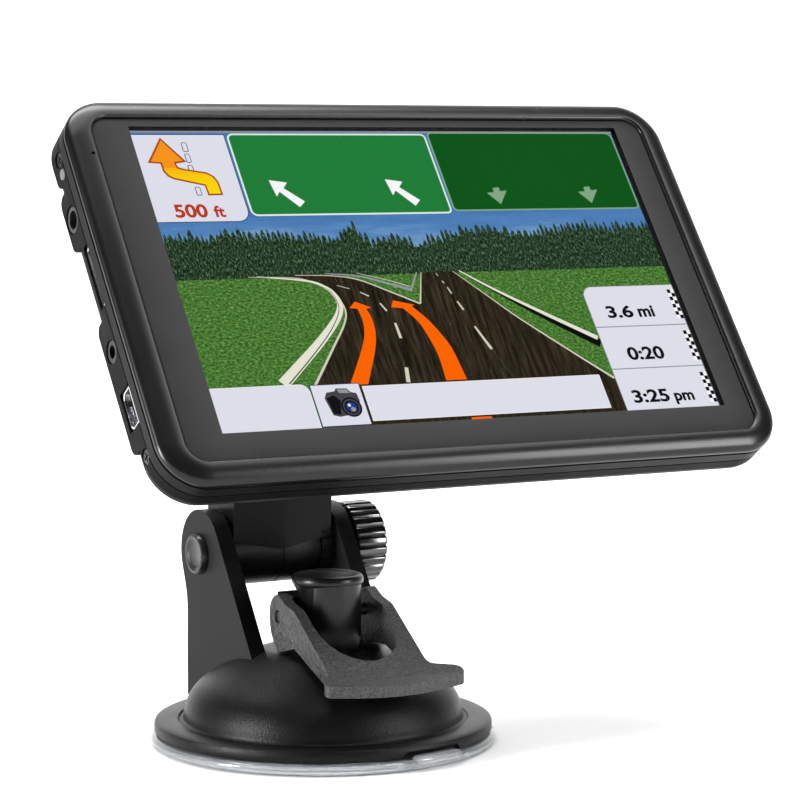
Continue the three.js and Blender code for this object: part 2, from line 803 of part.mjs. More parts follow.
function clampStem() {
  const middle = post.frontY;
  const shaft = slab(postOutline(), plungerTop - 0.5, post.top - 4 - plungerTop + 0.5);
  const base = turned(
    [
      [0, stemBase],
      [plunger.radius, stemBase],
      [plunger.radius, plungerTop],
      [0, plungerTop],
    ],
    fine / 2,
  );
  const cap = turned(
    [
      [0, post.top - 8],
      [post.radius, post.top - 8],
      [post.radius, post.top - post.discThickness - 0.5],
      [post.disc, post.top - post.discThickness],
      [post.disc, post.top - 0.4],
      [post.disc - 0.4, post.top],
      [post.disc - 1.2, post.top],
      [post.disc - 1.6, post.top - 0.4],
      [0, post.top - 0.4],
    ],
    fine / 2,
  ).translate([0, middle, 0]);
  const hole = rod(leverPin.radius + running, -post.width, post.width, lever.pinY, lever.pinZ, 16);
  piece(mountGroup, 'clamp_stem', shaft.add(base).add(cap).subtract(hole), colours.matt, 0.45);
}

function stemSpring() {
  const height = springTop - plungerTop - seam - spring.wire;
  const low = plungerTop + seam + spring.wire / 2;
  class Helix extends THREE.Curve {
    getPoint(t) {
      const angle = 2 * Math.PI * spring.turns * t;
      return new THREE.Vector3(
        spring.radius * Math.cos(angle),
        spring.radius * Math.sin(angle),
        low + height * t,
      );
    }
  }
  const wire = new THREE.Shape();
  wire.absarc(0, 0, spring.wire / 2, 0, 2 * Math.PI, false);
  const geometry = new THREE.ExtrudeGeometry(wire, {
    steps: Math.round(spring.turns * 14),
    curveSegments: 3,
    extrudePath: new Helix(),
  });
  piece(mountGroup, 'stem_spring', solid(geometry), colours.metal, 0.3, 0.9);
}

// Side outline of the lever: a cam round the pin, an arm falling forwards, and the lip.
function leverSide() {
  const points = [];
  const steps = 9;
  for (let i = 0; i <= steps; i += 1) {
    const angle = (i / steps) * Math.PI;
    const radius = angle < Math.PI / 2
      ? THREE.MathUtils.lerp(cam.bottom, cam.back, Math.sin(angle) ** cam.ease)
      : THREE.MathUtils.lerp(cam.back, cam.top, (angle - Math.PI / 2) / (Math.PI / 2));
    points.push([
      lever.pinY + radius * Math.sin(angle),
      lever.pinZ - radius * Math.cos(angle),
    ]);
  }
  return outline([...points, ...leverOutline]);
}

function leverPlan() {
  const shape = new THREE.Shape();
  const { back: backY, wing: wingY, tip: tipY, front: frontY } = leverPlanY;
  const [lipLeft, lipRight] = [-lever.lipLeft, lever.lipRight];
  shape.moveTo(-lever.outer, backY);
  shape.lineTo(-lever.outer, wingY);
  shape.lineTo(lipLeft + 1, wingY - 1);
  shape.quadraticCurveTo(lipLeft, wingY - 1, lipLeft, wingY - 2);
  shape.lineTo(lipLeft, tipY + 0.6);
  shape.quadraticCurveTo(lipLeft, tipY, lipLeft + 2, tipY - 0.4);
  shape.quadraticCurveTo((lipLeft + lipRight) / 2, 2 * frontY - tipY, lipRight - 2, tipY - 0.4);
  shape.quadraticCurveTo(lipRight, tipY, lipRight, tipY + 1);
  shape.quadraticCurveTo(lipRight, wingY - 1, lipRight - 1.6, wingY - 0.8);
  shape.lineTo(lever.outer + 1.4, wingY - 0.2);
  shape.quadraticCurveTo(lever.outer, wingY, lever.outer, wingY + 1.4);
  shape.lineTo(lever.outer, backY);
  return shape;
}

// The mouth of the yoke: straight sides beside the post and a round end in front of it.
function leverMouth() {
  const half = lever.outer - lever.ear;
  const endY = leverPlanY.mouthEnd;
  const shape = new THREE.Shape();
  shape.moveTo(half, 5);
  shape.lineTo(-half, 5);
  shape.lineTo(-half, endY + half);
  shape.absarc(0, endY + half, half, Math.PI, 2 * Math.PI, false);
  shape.lineTo(half, 5);
  return slab(shape, 0, post.top + 5);
}

function clampLever() {
  const side = slab(leverSide(), -lever.lipRight, 2 * lever.lipRight, null, xUp);
  const plan = slab(leverPlan(), 0, post.top + 5);
  const holeHalf = lever.outer + 1;
  const pinHole = rod(leverPin.radius + running, -holeHalf, holeHalf, lever.pinY, lever.pinZ, 16);
  const body = side.intersect(plan).subtract(leverMouth()).subtract(pinHole);
  piece(mountGroup, 'lever', body, colours.matt, 0.5);
  const pin = rod(
    leverPin.radius,
    -lever.outer + leverPin.stand,
    lever.outer - leverPin.stand,
    lever.pinY,
    lever.pinZ,
    12,
  );
  piece(mountGroup, 'lever_pin', pin, colours.metal, 0.3, 0.9);
}

function pivotHardware() {
  const headFace = -armOuter - seam / 2 - pivot.head;
  const headBack = -armOuter - seam / 2;
  const boltEnd = armOuter + seam + knob.collarLength + knob.length - 1.4;
  const bolt = turned(
    [
      [0, headFace + 0.5],
      [pivot.headRadius - 1.1, headFace + 0.4],
      [pivot.headRadius - 0.7, headFace],
      [pivot.headRadius, headFace + 0.5],
      [pivot.headRadius, headBack],
      [pivot.radius, headBack],
      [pivot.radius, boltEnd],
      [0, boltEnd],
    ],
    round,
    true,
  ).translate([0, pivot.y, pivot.z]);
  piece(mountGroup, 'pivot_bolt', bolt, colours.gloss, 0.35, 0.3);

  const collarX = armOuter + seam;
  const gripX = collarX + knob.collarLength;
  const knobEnd = gripX + knob.length;
  const lobes = [];
  const perFlute = 4;
  for (let i = 0; i < knob.flutes * perFlute; i += 1) {
    const angle = (2 * Math.PI * i) / (knob.flutes * perFlute);
    const cut = i % perFlute === 0 ? knob.flute : 0;
    lobes.push([
      pivot.y + (knob.radius - cut) * Math.cos(angle),
      pivot.z + (knob.radius - cut) * Math.sin(angle),
    ]);
  }
  const nutX = collarX + 0.9;
  const nutRadius = nut.flats / Math.sqrt(3);
  const nutPocket = rod(nutRadius + running, nutX - 0.1, nutX + nut.length + 0.1, pivot.y, pivot.z, 6);
  const grip = slab(outline(lobes), gripX, knob.length, { depth: 0.6, size: 0.5, steps: 1 }, xUp)
    .add(rod(knob.collar, collarX, gripX + 1, pivot.y, pivot.z))
    .subtract(rod(pivot.radius + running, collarX - 1, boltEnd + 0.3, pivot.y, pivot.z))
    .subtract(nutPocket);
  piece(mountGroup, 'tilt_knob', grip, colours.gloss, 0.25);
  const insert = rod(nutRadius, nutX, nutX + nut.length, pivot.y, pivot.z, 6)
    .subtract(rod(pivot.radius + running, nutX - 1, knobEnd, pivot.y, pivot.z));
  piece(mountGroup, 'knob_nut', insert, colours.metal, 0.3, 0.9);
}

// ---------------------------------------------------------------- tilting neck
function neckHead() {
  const barrelEnd = arm.inner - sliding;
  const lean = 90 - tilt;
  const radians = THREE.MathUtils.degToRad(lean);
  // A point of the leaning frame (height along the screen, distance out of it) in the upright frame
  const upright = (v, w) => [
    v * Math.cos(radians) - w * Math.sin(radians),
    v * Math.sin(radians) + w * Math.cos(radians),
  ];
  const webLow = reach.y + tongueTop - tongue.length;
  const webHigh = reach.y + tongueTop;
  const webBack = reach.z + bossBack - 2.2;
  const webFront = reach.z + tongueBack;
  const core = rod(barrel.radius, -barrelEnd, barrelEnd - barrel.washer - seam, 0, 0, fine / 2 + 4);
  const plateBack = reach.z + bossBack - seam - 0.6;
  const profile = outline([
    [-neck.front, neck.foot],
    [-neck.brow, neck.rise],
    upright(webLow + 2, plateBack),
    upright(webHigh - 1, plateBack),
    [neck.back + 0.2, neck.rise + 6],
    [neck.back, neck.rise],
    [neck.back, -2],
  ]);
  let body = slab(profile, -neck.width / 2, neck.width, null, xUp);
  const edge = neck.width / 2 + 1;
  const forward = Math.atan2(neck.brow - neck.front, neck.rise - neck.foot);
  for (const side of [-1, 1]) {
    const wedge = outline([
      [0, -neck.front - 0.01],
      [side * edge, -neck.front + neck.facet],
      [side * edge, -neck.brow - 1],
      [0, -neck.brow - 1],
    ]);
    const cut = slab(wedge, neck.foot - 1, neck.rise - neck.foot + 1);
    body = body.subtract(cut.rotate([THREE.MathUtils.radToDeg(forward), 0, 0]));
  }
  const web = box(-tongue.web / 2, tongue.web / 2, webLow, webHigh, webBack, webFront + 0.5);
  const flat = box(
    -tongue.width / 2,
    tongue.width / 2,
    webLow,
    webHigh,
    webFront,
    webFront + tongue.thickness,
  );
  const plate = web.add(flat).rotate([lean, 0, 0]);
  body = body.add(core).add(plate);
  body = body.subtract(rod(pivot.radius + running, -arm.inner - 5, arm.inner + 5, 0, 0));
  const washerSpace = rod(
    barrel.radius + 0.6,
    barrelEnd - barrel.washer - seam,
    barrelEnd + 1,
    0,
    0,
    fine / 2,
  );
  body = body.subtract(washerSpace);
  piece(mountGroup, 'neck_head', body.translate([0, pivot.y, pivot.z]), colours.matt, 0.55);

  const teeth = [];
  for (let i = 0; i < 2 * barrel.teeth; i += 1) {
    const angle = (Math.PI * i) / barrel.teeth;
    const radius = barrel.radius - (i % 2) * 0.5;
    teeth.push([pivot.y + radius * Math.cos(angle), pivot.z + radius * Math.sin(angle)]);
  }
  const washer = slab(outline(teeth), barrelEnd - barrel.washer, barrel.washer, null, xUp)
    .subtract(rod(pivot.radius + running, 0, armOuter, pivot.y, pivot.z));
  piece(mountGroup, 'tilt_washer', washer, colours.matt, 0.6);
}

screenHalf();
trimRing();
rearCase();
sideScrews();
electronics();
suctionPad();
baseHousing();
clampStem();
stemSpring();
clampLever();
pivotHardware();
neckHead();

export default model;
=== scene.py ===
import json
import math
import random

import bmesh
import bpy
from mathutils import Matrix, Vector


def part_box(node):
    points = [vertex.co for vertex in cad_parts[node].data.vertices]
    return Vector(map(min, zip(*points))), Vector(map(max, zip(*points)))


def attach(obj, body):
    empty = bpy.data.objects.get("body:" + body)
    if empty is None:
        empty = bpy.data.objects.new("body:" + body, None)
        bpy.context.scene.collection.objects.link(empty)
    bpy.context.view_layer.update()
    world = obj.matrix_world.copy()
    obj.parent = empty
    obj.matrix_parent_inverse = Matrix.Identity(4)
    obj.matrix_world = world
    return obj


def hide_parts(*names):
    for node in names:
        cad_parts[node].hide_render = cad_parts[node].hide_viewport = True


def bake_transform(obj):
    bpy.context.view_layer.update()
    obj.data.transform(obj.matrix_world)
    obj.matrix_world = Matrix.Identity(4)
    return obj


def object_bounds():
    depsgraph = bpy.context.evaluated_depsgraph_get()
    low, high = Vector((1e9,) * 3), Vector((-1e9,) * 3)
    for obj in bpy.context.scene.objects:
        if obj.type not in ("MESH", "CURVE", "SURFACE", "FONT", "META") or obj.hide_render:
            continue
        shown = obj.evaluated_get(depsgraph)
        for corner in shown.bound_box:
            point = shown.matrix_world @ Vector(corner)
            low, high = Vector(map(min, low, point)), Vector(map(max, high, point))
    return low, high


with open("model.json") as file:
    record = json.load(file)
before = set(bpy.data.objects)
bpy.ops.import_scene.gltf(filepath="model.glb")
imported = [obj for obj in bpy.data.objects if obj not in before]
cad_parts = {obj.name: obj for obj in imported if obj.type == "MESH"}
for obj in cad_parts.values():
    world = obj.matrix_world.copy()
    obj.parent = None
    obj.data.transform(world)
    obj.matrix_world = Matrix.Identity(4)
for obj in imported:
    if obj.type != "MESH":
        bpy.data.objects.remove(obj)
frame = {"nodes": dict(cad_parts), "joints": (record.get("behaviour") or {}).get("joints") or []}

cad_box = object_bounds()
random.seed(7)

# ------------------------------------------------------------------ places
# Lengths are millimetres until a piece is finished, when its place turns them into metres.
MM = 0.001
JOINTS = {joint["name"]: joint for joint in frame["joints"]}


def middle(node):
    low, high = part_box(node)
    return (low + high) / 2


def place(right, up, out, origin):
    """Matrix that carries a piece drawn in its own millimetres to the row frame."""
    turn = Matrix((right, up, out)).transposed().to_4x4()
    return Matrix.Translation(origin) @ turn @ Matrix.Scale(MM, 4)


GLASS = 1.3
RIGHT = Vector((1, 0, 0))
UP_SCREEN = Vector(JOINTS["unit_slide"]["axis"]).normalized()
OUT_SCREEN = RIGHT.cross(UP_SCREEN)
SCREEN = place(RIGHT, UP_SCREEN, OUT_SCREEN, middle("touch_panel") + OUT_SCREEN * GLASS / 2 * MM)
UPRIGHT = Matrix.Scale(MM, 4)
PIVOT = Vector(JOINTS["tilt_hinge"]["pos_m"]) / MM
ALONG_X = Matrix(((0, 0, 1), (1, 0, 0), (0, 1, 0))).to_4x4()  # turned about Z, laid along X


def at_pivot(bm):
    bmesh.ops.transform(bm, matrix=Matrix.Translation((0, PIVOT.y, PIVOT.z)) @ ALONG_X, verts=bm.verts)
    return bm


# ------------------------------------------------------------------ finishes
def linear(value):
    value /= 255
    return value / 12.92 if value <= 0.04045 else ((value + 0.055) / 1.055) ** 2.4


def tone(red, green, blue):
    return (linear(red), linear(green), linear(blue), 1)


def blank(name):
    finish = bpy.data.materials.new(name)
    finish.use_nodes = True
    nodes = finish.node_tree.nodes
    shader = nodes["Principled BSDF"]
    return finish, finish.node_tree, shader


def noise(tree, source, scale, detail=3.0, roughness=0.55):
    texture = tree.nodes.new("ShaderNodeTexNoise")
    texture.inputs["Scale"].default_value = scale
    texture.inputs["Detail"].default_value = detail
    texture.inputs["Roughness"].default_value = roughness
    tree.links.new(source, texture.inputs["Vector"])
    return texture.outputs["Fac"]


def spread(tree, value, low, high, start=0.3, end=0.7):
    change = tree.nodes.new("ShaderNodeMapRange")
    change.inputs["From Min"].default_value = start
    change.inputs["From Max"].default_value = end
    change.inputs["To Min"].default_value = low
    change.inputs["To Max"].default_value = high
    tree.links.new(value, change.inputs["Value"])
    return change.outputs["Result"]


def shades(tree, value, colours, start=0.3, end=0.7):
    ramp = tree.nodes.new("ShaderNodeValToRGB")
    while len(ramp.color_ramp.elements) < len(colours):
        ramp.color_ramp.elements.new(0.5)
    for i, colour in enumerate(colours):
        ramp.color_ramp.elements[i].position = start + (end - start) * i / (len(colours) - 1)
        ramp.color_ramp.elements[i].color = colour
    tree.links.new(value, ramp.inputs["Fac"])
    return ramp.outputs["Color"]


def moulded(name, colours, rough, grain=0.25, height=0.01, metallic=0.0, shine=0.3, stretch=None, cloud=9.0):
    """Plastic or metal with two close tones, a roughness that varies, and a grain of that pitch."""
    finish, tree, shader = blank(name)
    where = tree.nodes.new("ShaderNodeTexCoord").outputs["Object"]
    if stretch:
        mapping = tree.nodes.new("ShaderNodeMapping")
        mapping.inputs["Scale"].default_value = stretch
        tree.links.new(where, mapping.inputs["Vector"])
        where = mapping.outputs["Vector"]
    broad = noise(tree, where, 1 / (cloud * MM))
    fine = noise(tree, where, 1 / (grain * MM), 2.0)
    tree.links.new(shades(tree, broad, colours), shader.inputs["Base Color"])
    mixed = tree.nodes.new("ShaderNodeMath")
    mixed.operation = "MULTIPLY_ADD"
    mixed.inputs[1].default_value = 0.35
    tree.links.new(fine, mixed.inputs[0])
    tree.links.new(broad, mixed.inputs[2])
    tree.links.new(
        spread(tree, mixed.outputs["Value"], *rough, start=0.45, end=0.9), shader.inputs["Roughness"],
    )
    bump = tree.nodes.new("ShaderNodeBump")
    bump.inputs["Strength"].default_value = 1.0
    bump.inputs["Distance"].default_value = height * MM
    tree.links.new(fine, bump.inputs["Height"])
    tree.links.new(bump.outputs["Normal"], shader.inputs["Normal"])
    shader.inputs["Metallic"].default_value = metallic
    shader.inputs["Specular IOR Level"].default_value = shine
    return finish


def lit(name, colour):
    """A flat colour of the display, which gives its own light."""
    finish, _, shader = blank(name)
    shader.inputs["Base Color"].default_value = (0, 0, 0, 1)
    shader.inputs["Specular IOR Level"].default_value = 0
    shader.inputs["Emission Color"].default_value = colour
    shader.inputs["Emission Strength"].default_value = 1
    return finish


def lit_pattern(name, colours, scale, stretch=(1, 1, 1), detail=4.0, start=0.3, end=0.7, rise=None):
    """A display colour with a pattern in the display's own map, and a rise of brightness up it."""
    finish, tree, shader = blank(name)
    shader.inputs["Base Color"].default_value = (0, 0, 0, 1)
    shader.inputs["Specular IOR Level"].default_value = 0
    shader.inputs["Emission Strength"].default_value = 1
    where = tree.nodes.new("ShaderNodeTexCoord").outputs["UV"]
    mapping = tree.nodes.new("ShaderNodeMapping")
    mapping.inputs["Scale"].default_value = stretch
    tree.links.new(where, mapping.inputs["Vector"])
    value = noise(tree, mapping.outputs["Vector"], scale, detail, 0.65)
    if rise:
        split = tree.nodes.new("ShaderNodeSeparateXYZ")
        tree.links.new(where, split.inputs["Vector"])
        slope = spread(tree, split.outputs["Y"], rise[2], rise[3], rise[0], rise[1])
        add = tree.nodes.new("ShaderNodeMath")
        tree.links.new(value, add.inputs[0])
        tree.links.new(slope, add.inputs[1])
        value = add.outputs["Value"]
    tree.links.new(shades(tree, value, colours, start, end), shader.inputs["Emission Color"])
    return finish


FINISH = {
    "bezel": moulded(
        "piano_black", [tone(8, 8, 9), tone(14, 14, 15)], (0.25, 0.28), 2.5, 0.0003, shine=0.3, cloud=30,
    ),
    "trim": moulded(
        "satin_grey_paint", [tone(11, 11, 12), tone(15, 15, 16)], (0.44, 0.52), 0.18, 0.002, shine=0.12,
    ),
    "case": moulded(
        "fine_grain_black", [tone(7, 7, 8), tone(12, 12, 13)], (0.5, 0.6), 0.22, 0.012, shine=0.07,
    ),
    "border": moulded(
        "printed_border", [tone(45, 45, 45), tone(48, 48, 48)], (0.30, 0.36), 0.4, 0.0006, shine=0.08,
    ),
    "housing": moulded(
        "spark_grain_black", [tone(7, 7, 8), tone(12, 12, 13)], (0.34, 0.40), 0.32, 0.09, shine=0.15,
    ),
    # painted light: a lighter copy of the housing's black for the arms' flat sides, standing in for how the
    # light falls on them
    "arm_sides_painted_light": moulded(
        "arm_sides_painted_light_black", [tone(27, 27, 28), tone(33, 33, 34)], (0.5, 0.6), 0.25, 0.01, shine=0.06,
    ),
    "stem": moulded(
        "satin_black", [tone(9, 9, 10), tone(13, 13, 14)], (0.30, 0.36), 1.2, 0.002, shine=0.3, cloud=20,
    ),
    "lever": moulded(
        "coarse_grain_black", [tone(22, 22, 23), tone(72, 72, 73)], (0.36, 0.5), 0.5, 0.32, shine=0.4,
        cloud=0.5,
    ),
    "neck": moulded("moulded_black", [tone(5, 5, 6), tone(9, 9, 10)], (0.34, 0.42), 0.2, 0.006, shine=0.1),
    "knob": moulded(
        "polished_black", [tone(8, 8, 9), tone(14, 14, 15)], (0.12, 0.18), 0.6, 0.0008, shine=1.0,
    ),
    "bolt": moulded("black_oxide", [tone(30, 30, 32), tone(46, 46, 48)], (0.24, 0.38), 0.15, 0.004, 0.3),
    "washer": moulded("friction_rubber", [tone(10, 10, 11), tone(20, 20, 21)], (0.6, 0.8), 0.2, 0.02),
    "steel": moulded(
        "drawn_steel", [tone(150, 150, 152), tone(186, 186, 188)], (0.22, 0.36), 0.12, 0.003, 1.0,
    ),
    "dark_steel": moulded(
        "dark_plated_steel", [tone(92, 92, 94), tone(130, 130, 132)], (0.22, 0.36), 0.12, 0.003, 1.0,
    ),
    "worn": moulded("dull_nickel", [tone(58, 58, 60), tone(86, 86, 88)], (0.26, 0.4), 0.2, 0.003, 0.9),
    "nickel": moulded(
        "nickel_plate", [tone(196, 196, 200), tone(224, 224, 226)], (0.12, 0.24), 0.15, 0.001, 1.0,
    ),
    "tin": moulded("tinned_sheet", [tone(180, 182, 184), tone(206, 208, 210)], (0.25, 0.42), 0.3, 0.006, 1.0),
    "foil": moulded("cell_foil", [tone(182, 182, 186), tone(210, 210, 212)], (0.3, 0.5), 0.8, 0.02, 0.8),
    "board": moulded("solder_mask", [tone(14, 84, 46), tone(24, 108, 62)], (0.3, 0.45), 0.6, 0.01),
    "ceramic": moulded("fired_ceramic", [tone(214, 202, 176), tone(232, 222, 200)], (0.4, 0.6), 0.3, 0.006),
    "socket": moulded("socket_moulding", [tone(12, 12, 13), tone(22, 22, 23)], (0.25, 0.4), 0.3, 0.004),
    "button": moulded("button_black", [tone(16, 16, 17), tone(24, 24, 25)], (0.25, 0.36), 0.2, 0.004),
    "film": moulded("polyimide_film", [tone(170, 104, 36), tone(196, 126, 52)], (0.25, 0.4), 0.6, 0.004),
}


def clear(name, colour, rough, through):
    finish, tree, shader = blank(name)
    where = tree.nodes.new("ShaderNodeTexCoord").outputs["Object"]
    cloud = noise(tree, where, 1 / (6 * MM))
    tree.links.new(
        shades(tree, cloud, [colour, tuple(min(1, c * 1.06) for c in colour)]), shader.inputs["Base Color"],
    )
    tree.links.new(spread(tree, cloud, *rough), shader.inputs["Roughness"])
    shader.inputs["Transmission Weight"].default_value = through
    shader.inputs["IOR"].default_value = 1.46
    return finish


FINISH["pad"] = clear("clear_soft_plastic", tone(222, 226, 230), (0.06, 0.16), 0.85)
FINISH["pipe"] = clear("frosted_acrylic", tone(96, 96, 94), (0.3, 0.45), 0.2)
window_clear, _, window_shader = blank("window_clear")
window_shader.inputs["Base Color"].default_value = (0, 0, 0, 1)
window_shader.inputs["Roughness"].default_value = 0.05
window_shader.inputs["Alpha"].default_value = 0.02
window_shader.inputs["Specular IOR Level"].default_value = 0.05
FINISH["window"] = window_clear


# ------------------------------------------------------------------ shape tools
def moved_verts(grown):
    return [g for g in grown if isinstance(g, bmesh.types.BMVert)]


def rounded_plate(width, height, corner, segments=16, centre=(0, 0)):
    bm = bmesh.new()
    bmesh.ops.create_grid(bm, x_segments=1, y_segments=1, size=0.5)
    bmesh.ops.scale(bm, vec=(width, height, 1), verts=bm.verts)
    bmesh.ops.bevel(
        bm, geom=bm.verts[:], offset=corner, offset_type="OFFSET", segments=segments,
        profile=0.5, affect="VERTICES", material=-1,
    )
    bmesh.ops.translate(bm, vec=(*centre, 0), verts=bm.verts)
    return bm


def frame_sweep(width, height, corner, section, narrow=1.0, segments=24):
    """A closed section of (inset, level) points carried round a rounded rectangle."""
    bm = rounded_plate(width, height, corner, segments)
    out = bm.verts.layers.float_vector.new("out")
    for v in bm.verts:
        centre = (math.copysign(width / 2 - corner, v.co.x), math.copysign(height / 2 - corner, v.co.y), 0)
        v[out] = (v.co - Vector(centre)).normalized()
    bmesh.ops.delete(bm, geom=bm.faces[:], context="FACES_ONLY")
    first = loop = bm.edges[:]
    last = 0.0
    verts = bm.verts[:]
    for step, (inset, level) in enumerate(section):
        if step:
            grown = bmesh.ops.extrude_edge_only(bm, edges=loop)["geom"]
            verts = moved_verts(grown)
            new = set(verts)
            loop = [e for e in grown if isinstance(e, bmesh.types.BMEdge) and new.issuperset(e.verts)]
        for v in verts:
            more = inset - last
            v.co.x -= v[out].x * more
            v.co.y -= v[out].y * more - math.copysign(1 - narrow, v.co.y) * more
            v.co.z = level
        last = inset
    bmesh.ops.bridge_loops(bm, edges=first + loop)
    return bm


def turned(points, steps=96):
    bm = bmesh.new()
    verts = [bm.verts.new((radius, 0, level)) for radius, level in points]
    edges = [bm.edges.new(pair) for pair in zip(verts, verts[1:])]
    bmesh.ops.spin(
        bm, geom=verts + edges, cent=(0, 0, 0), axis=(0, 0, 1), dvec=(0, 0, 0),
        angle=2 * math.pi, steps=steps, use_merge=True, use_duplicate=False,
    )
    bmesh.ops.remove_doubles(bm, verts=bm.verts, dist=1e-4)
    bmesh.ops.recalc_face_normals(bm, faces=bm.faces)
    return bm


def slab(points, low, high):
    bm = bmesh.new()
    face = bm.faces.new([bm.verts.new((x, y, low)) for x, y in points])
    grown = bmesh.ops.extrude_face_region(bm, geom=[face])["geom"]
    bmesh.ops.translate(bm, vec=(0, 0, high - low), verts=moved_verts(grown))
    bmesh.ops.recalc_face_normals(bm, faces=bm.faces)
    return bm


def block(x0, x1, y0, y1, z0, z1):
    bm = bmesh.new()
    bmesh.ops.create_cube(bm, size=1)
    bmesh.ops.scale(bm, vec=(x1 - x0, y1 - y0, z1 - z0), verts=bm.verts)
    bmesh.ops.translate(bm, vec=((x0 + x1) / 2, (y0 + y1) / 2, (z0 + z1) / 2), verts=bm.verts)
    return bm


def softened(bm, width, segments=3, angle=30):
    sharp = [e for e in bm.edges if e.is_manifold and e.calc_face_angle(0) > math.radians(angle)]
    bmesh.ops.bevel(
        bm, geom=sharp, offset=width, offset_type="OFFSET", segments=segments,
        profile=0.5, affect="EDGES", clamp_overlap=True, material=-1,
    )
    return bm


def temporary(bm):
    mesh = bpy.data.meshes.new("shape")
    bm.to_mesh(mesh)
    bm.free()
    obj = bpy.data.objects.new("shape", mesh)
    bpy.context.scene.collection.objects.link(obj)
    return obj


def combined(first, second, operation="UNION"):
    a, b = temporary(first), temporary(second)
    joining = a.modifiers.new("joining", "BOOLEAN")
    joining.operation = operation
    joining.solver = "EXACT"
    joining.object = b
    mesh = bpy.data.meshes.new_from_object(a.evaluated_get(bpy.context.evaluated_depsgraph_get()))
    bm = bmesh.new()
    bm.from_mesh(mesh)
    for o in (a, b):
        shape = o.data
        bpy.data.objects.remove(o)
        bpy.data.meshes.remove(shape)
    bpy.data.meshes.remove(mesh)
    return bm


def piece(
    name, bm, body, slot, finishes, where=UPRIGHT, stands_for=(), smooth=38, edge=0.0, edge_steps=3,
    edge_angle=38,
):
    mesh = bpy.data.meshes.new(name)
    bm.to_mesh(mesh)
    bm.free()
    mesh.transform(where)
    for finish in finishes:
        mesh.materials.append(FINISH[finish])
    mesh.shade_smooth()
    mesh.set_sharp_from_angle(angle=math.radians(smooth))
    obj = bpy.data.objects.new(name, mesh)
    bpy.context.scene.collection.objects.link(obj)
    if edge:
        rounding = obj.modifiers.new("edges", "BEVEL")
        rounding.width = edge * MM
        rounding.segments = edge_steps
        rounding.limit_method = "ANGLE"
        rounding.angle_limit = math.radians(edge_angle)
        rounding.harden_normals = True
        rounding.use_clamp_overlap = True
    if body:
        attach(obj, body)
    if stands_for:
        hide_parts(*stands_for)
    return obj


def carried(node, name, body, slot, finishes, edge, **more):
    """A CAD node's own shape, merged, with its flat faces made whole and its edges rounded."""
    bm = bmesh.new()
    bm.from_mesh(frame["nodes"][node].data)
    bmesh.ops.scale(bm, vec=(1 / MM, 1 / MM, 1 / MM), verts=bm.verts)
    bmesh.ops.remove_doubles(bm, verts=bm.verts, dist=1e-3)
    bmesh.ops.dissolve_limit(
        bm, angle_limit=math.radians(0.6), verts=bm.verts, edges=bm.edges, use_dissolve_boundaries=False,
    )
    return piece(name, bm, body, slot, finishes, stands_for=[node], edge=edge, **more)


# ------------------------------------------------------------------ navigator: front
UNIT = {"width": 132.4, "height": 82.8, "corner": 9.0}
RIM_SIDE, RIM_TOP, CROWN, RIM_BACK = 5.2, 4.35, 0.7, -2.0


def bezel_section():
    points = [(RIM_SIDE - 0.02, RIM_BACK), (0.35, RIM_BACK), (0.1, RIM_BACK + 0.1), (0.0, RIM_BACK + 0.35)]
    crest, low, steps, drop = 4.55, -1.3, 22, 6
    for i in range(steps + 1):
        angle = math.pi / 2 * i / steps
        points.append((crest * (1 - math.cos(angle)), low + (CROWN - low) * math.sin(angle)))
    for i in range(1, drop + 1):
        angle = math.pi / 2 * i / drop
        points.append((crest + (RIM_SIDE - crest) * math.sin(angle), CROWN - 0.7 * (1 - math.cos(angle))))
    points.append((RIM_SIDE, -0.15))
    return points


MIC = {"x": -UNIT["width"] / 2 + RIM_SIDE - 1.35, "y": 28.7, "radius": 0.35}
rim = frame_sweep(UNIT["width"], UNIT["height"], UNIT["corner"], bezel_section(), RIM_TOP / RIM_SIDE)
bmesh.ops.recalc_face_normals(rim, faces=rim.faces)
mic_hole = turned(
    [(0, RIM_BACK - 1), (MIC["radius"], RIM_BACK - 1), (MIC["radius"], CROWN + 1), (0, CROWN + 1)], 20,
)
bmesh.ops.translate(mic_hole, vec=(MIC["x"], MIC["y"], 0), verts=mic_hole.verts)
rim = combined(rim, mic_hole, "DIFFERENCE")
piece("front_rim", rim, "navigator", "bezel_gloss", ["bezel"], SCREEN, ["front_bezel"], smooth=50)

PICTURE = {"left": -53.4, "right": 55.1, "low": -31.5, "high": 35.2}


def touch_glass():
    wide, tall = UNIT["width"] - 2 * RIM_SIDE, UNIT["height"] - 2 * RIM_TOP
    bm = rounded_plate(wide, tall, 3.0, 10)
    outer = bm.edges[:]
    bmesh.ops.delete(bm, geom=bm.faces[:], context="FACES_ONLY")
    sides = (("left", "low"), ("right", "low"), ("right", "high"), ("left", "high"))
    window = bm.faces.new([bm.verts.new((PICTURE[x], PICTURE[y], 0)) for x, y in sides])
    bmesh.ops.bridge_loops(bm, edges=outer + list(window.edges))
    for face in bm.faces:
        face.material_index = int(face == window)
    bmesh.ops.recalc_face_normals(bm, faces=bm.faces)
    grown = bmesh.ops.extrude_face_region(bm, geom=bm.faces[:])["geom"]
    bmesh.ops.translate(bm, vec=(0, 0, -GLASS), verts=moved_verts(grown))
    bmesh.ops.recalc_face_normals(bm, faces=bm.faces)
    front = [
        e for e in bm.edges
        if e.is_manifold and e.calc_face_angle(0) > 0.8 and min(v.co.z for v in e.verts) > -0.1
    ]
    bmesh.ops.bevel(
        bm, geom=front, offset=0.25, offset_type="OFFSET", segments=3, profile=0.5, affect="EDGES",
        material=-1,
    )
    return bm


piece("touch_glass", touch_glass(), "navigator", "panel_glass", ["border", "window"], SCREEN, ["touch_panel"])

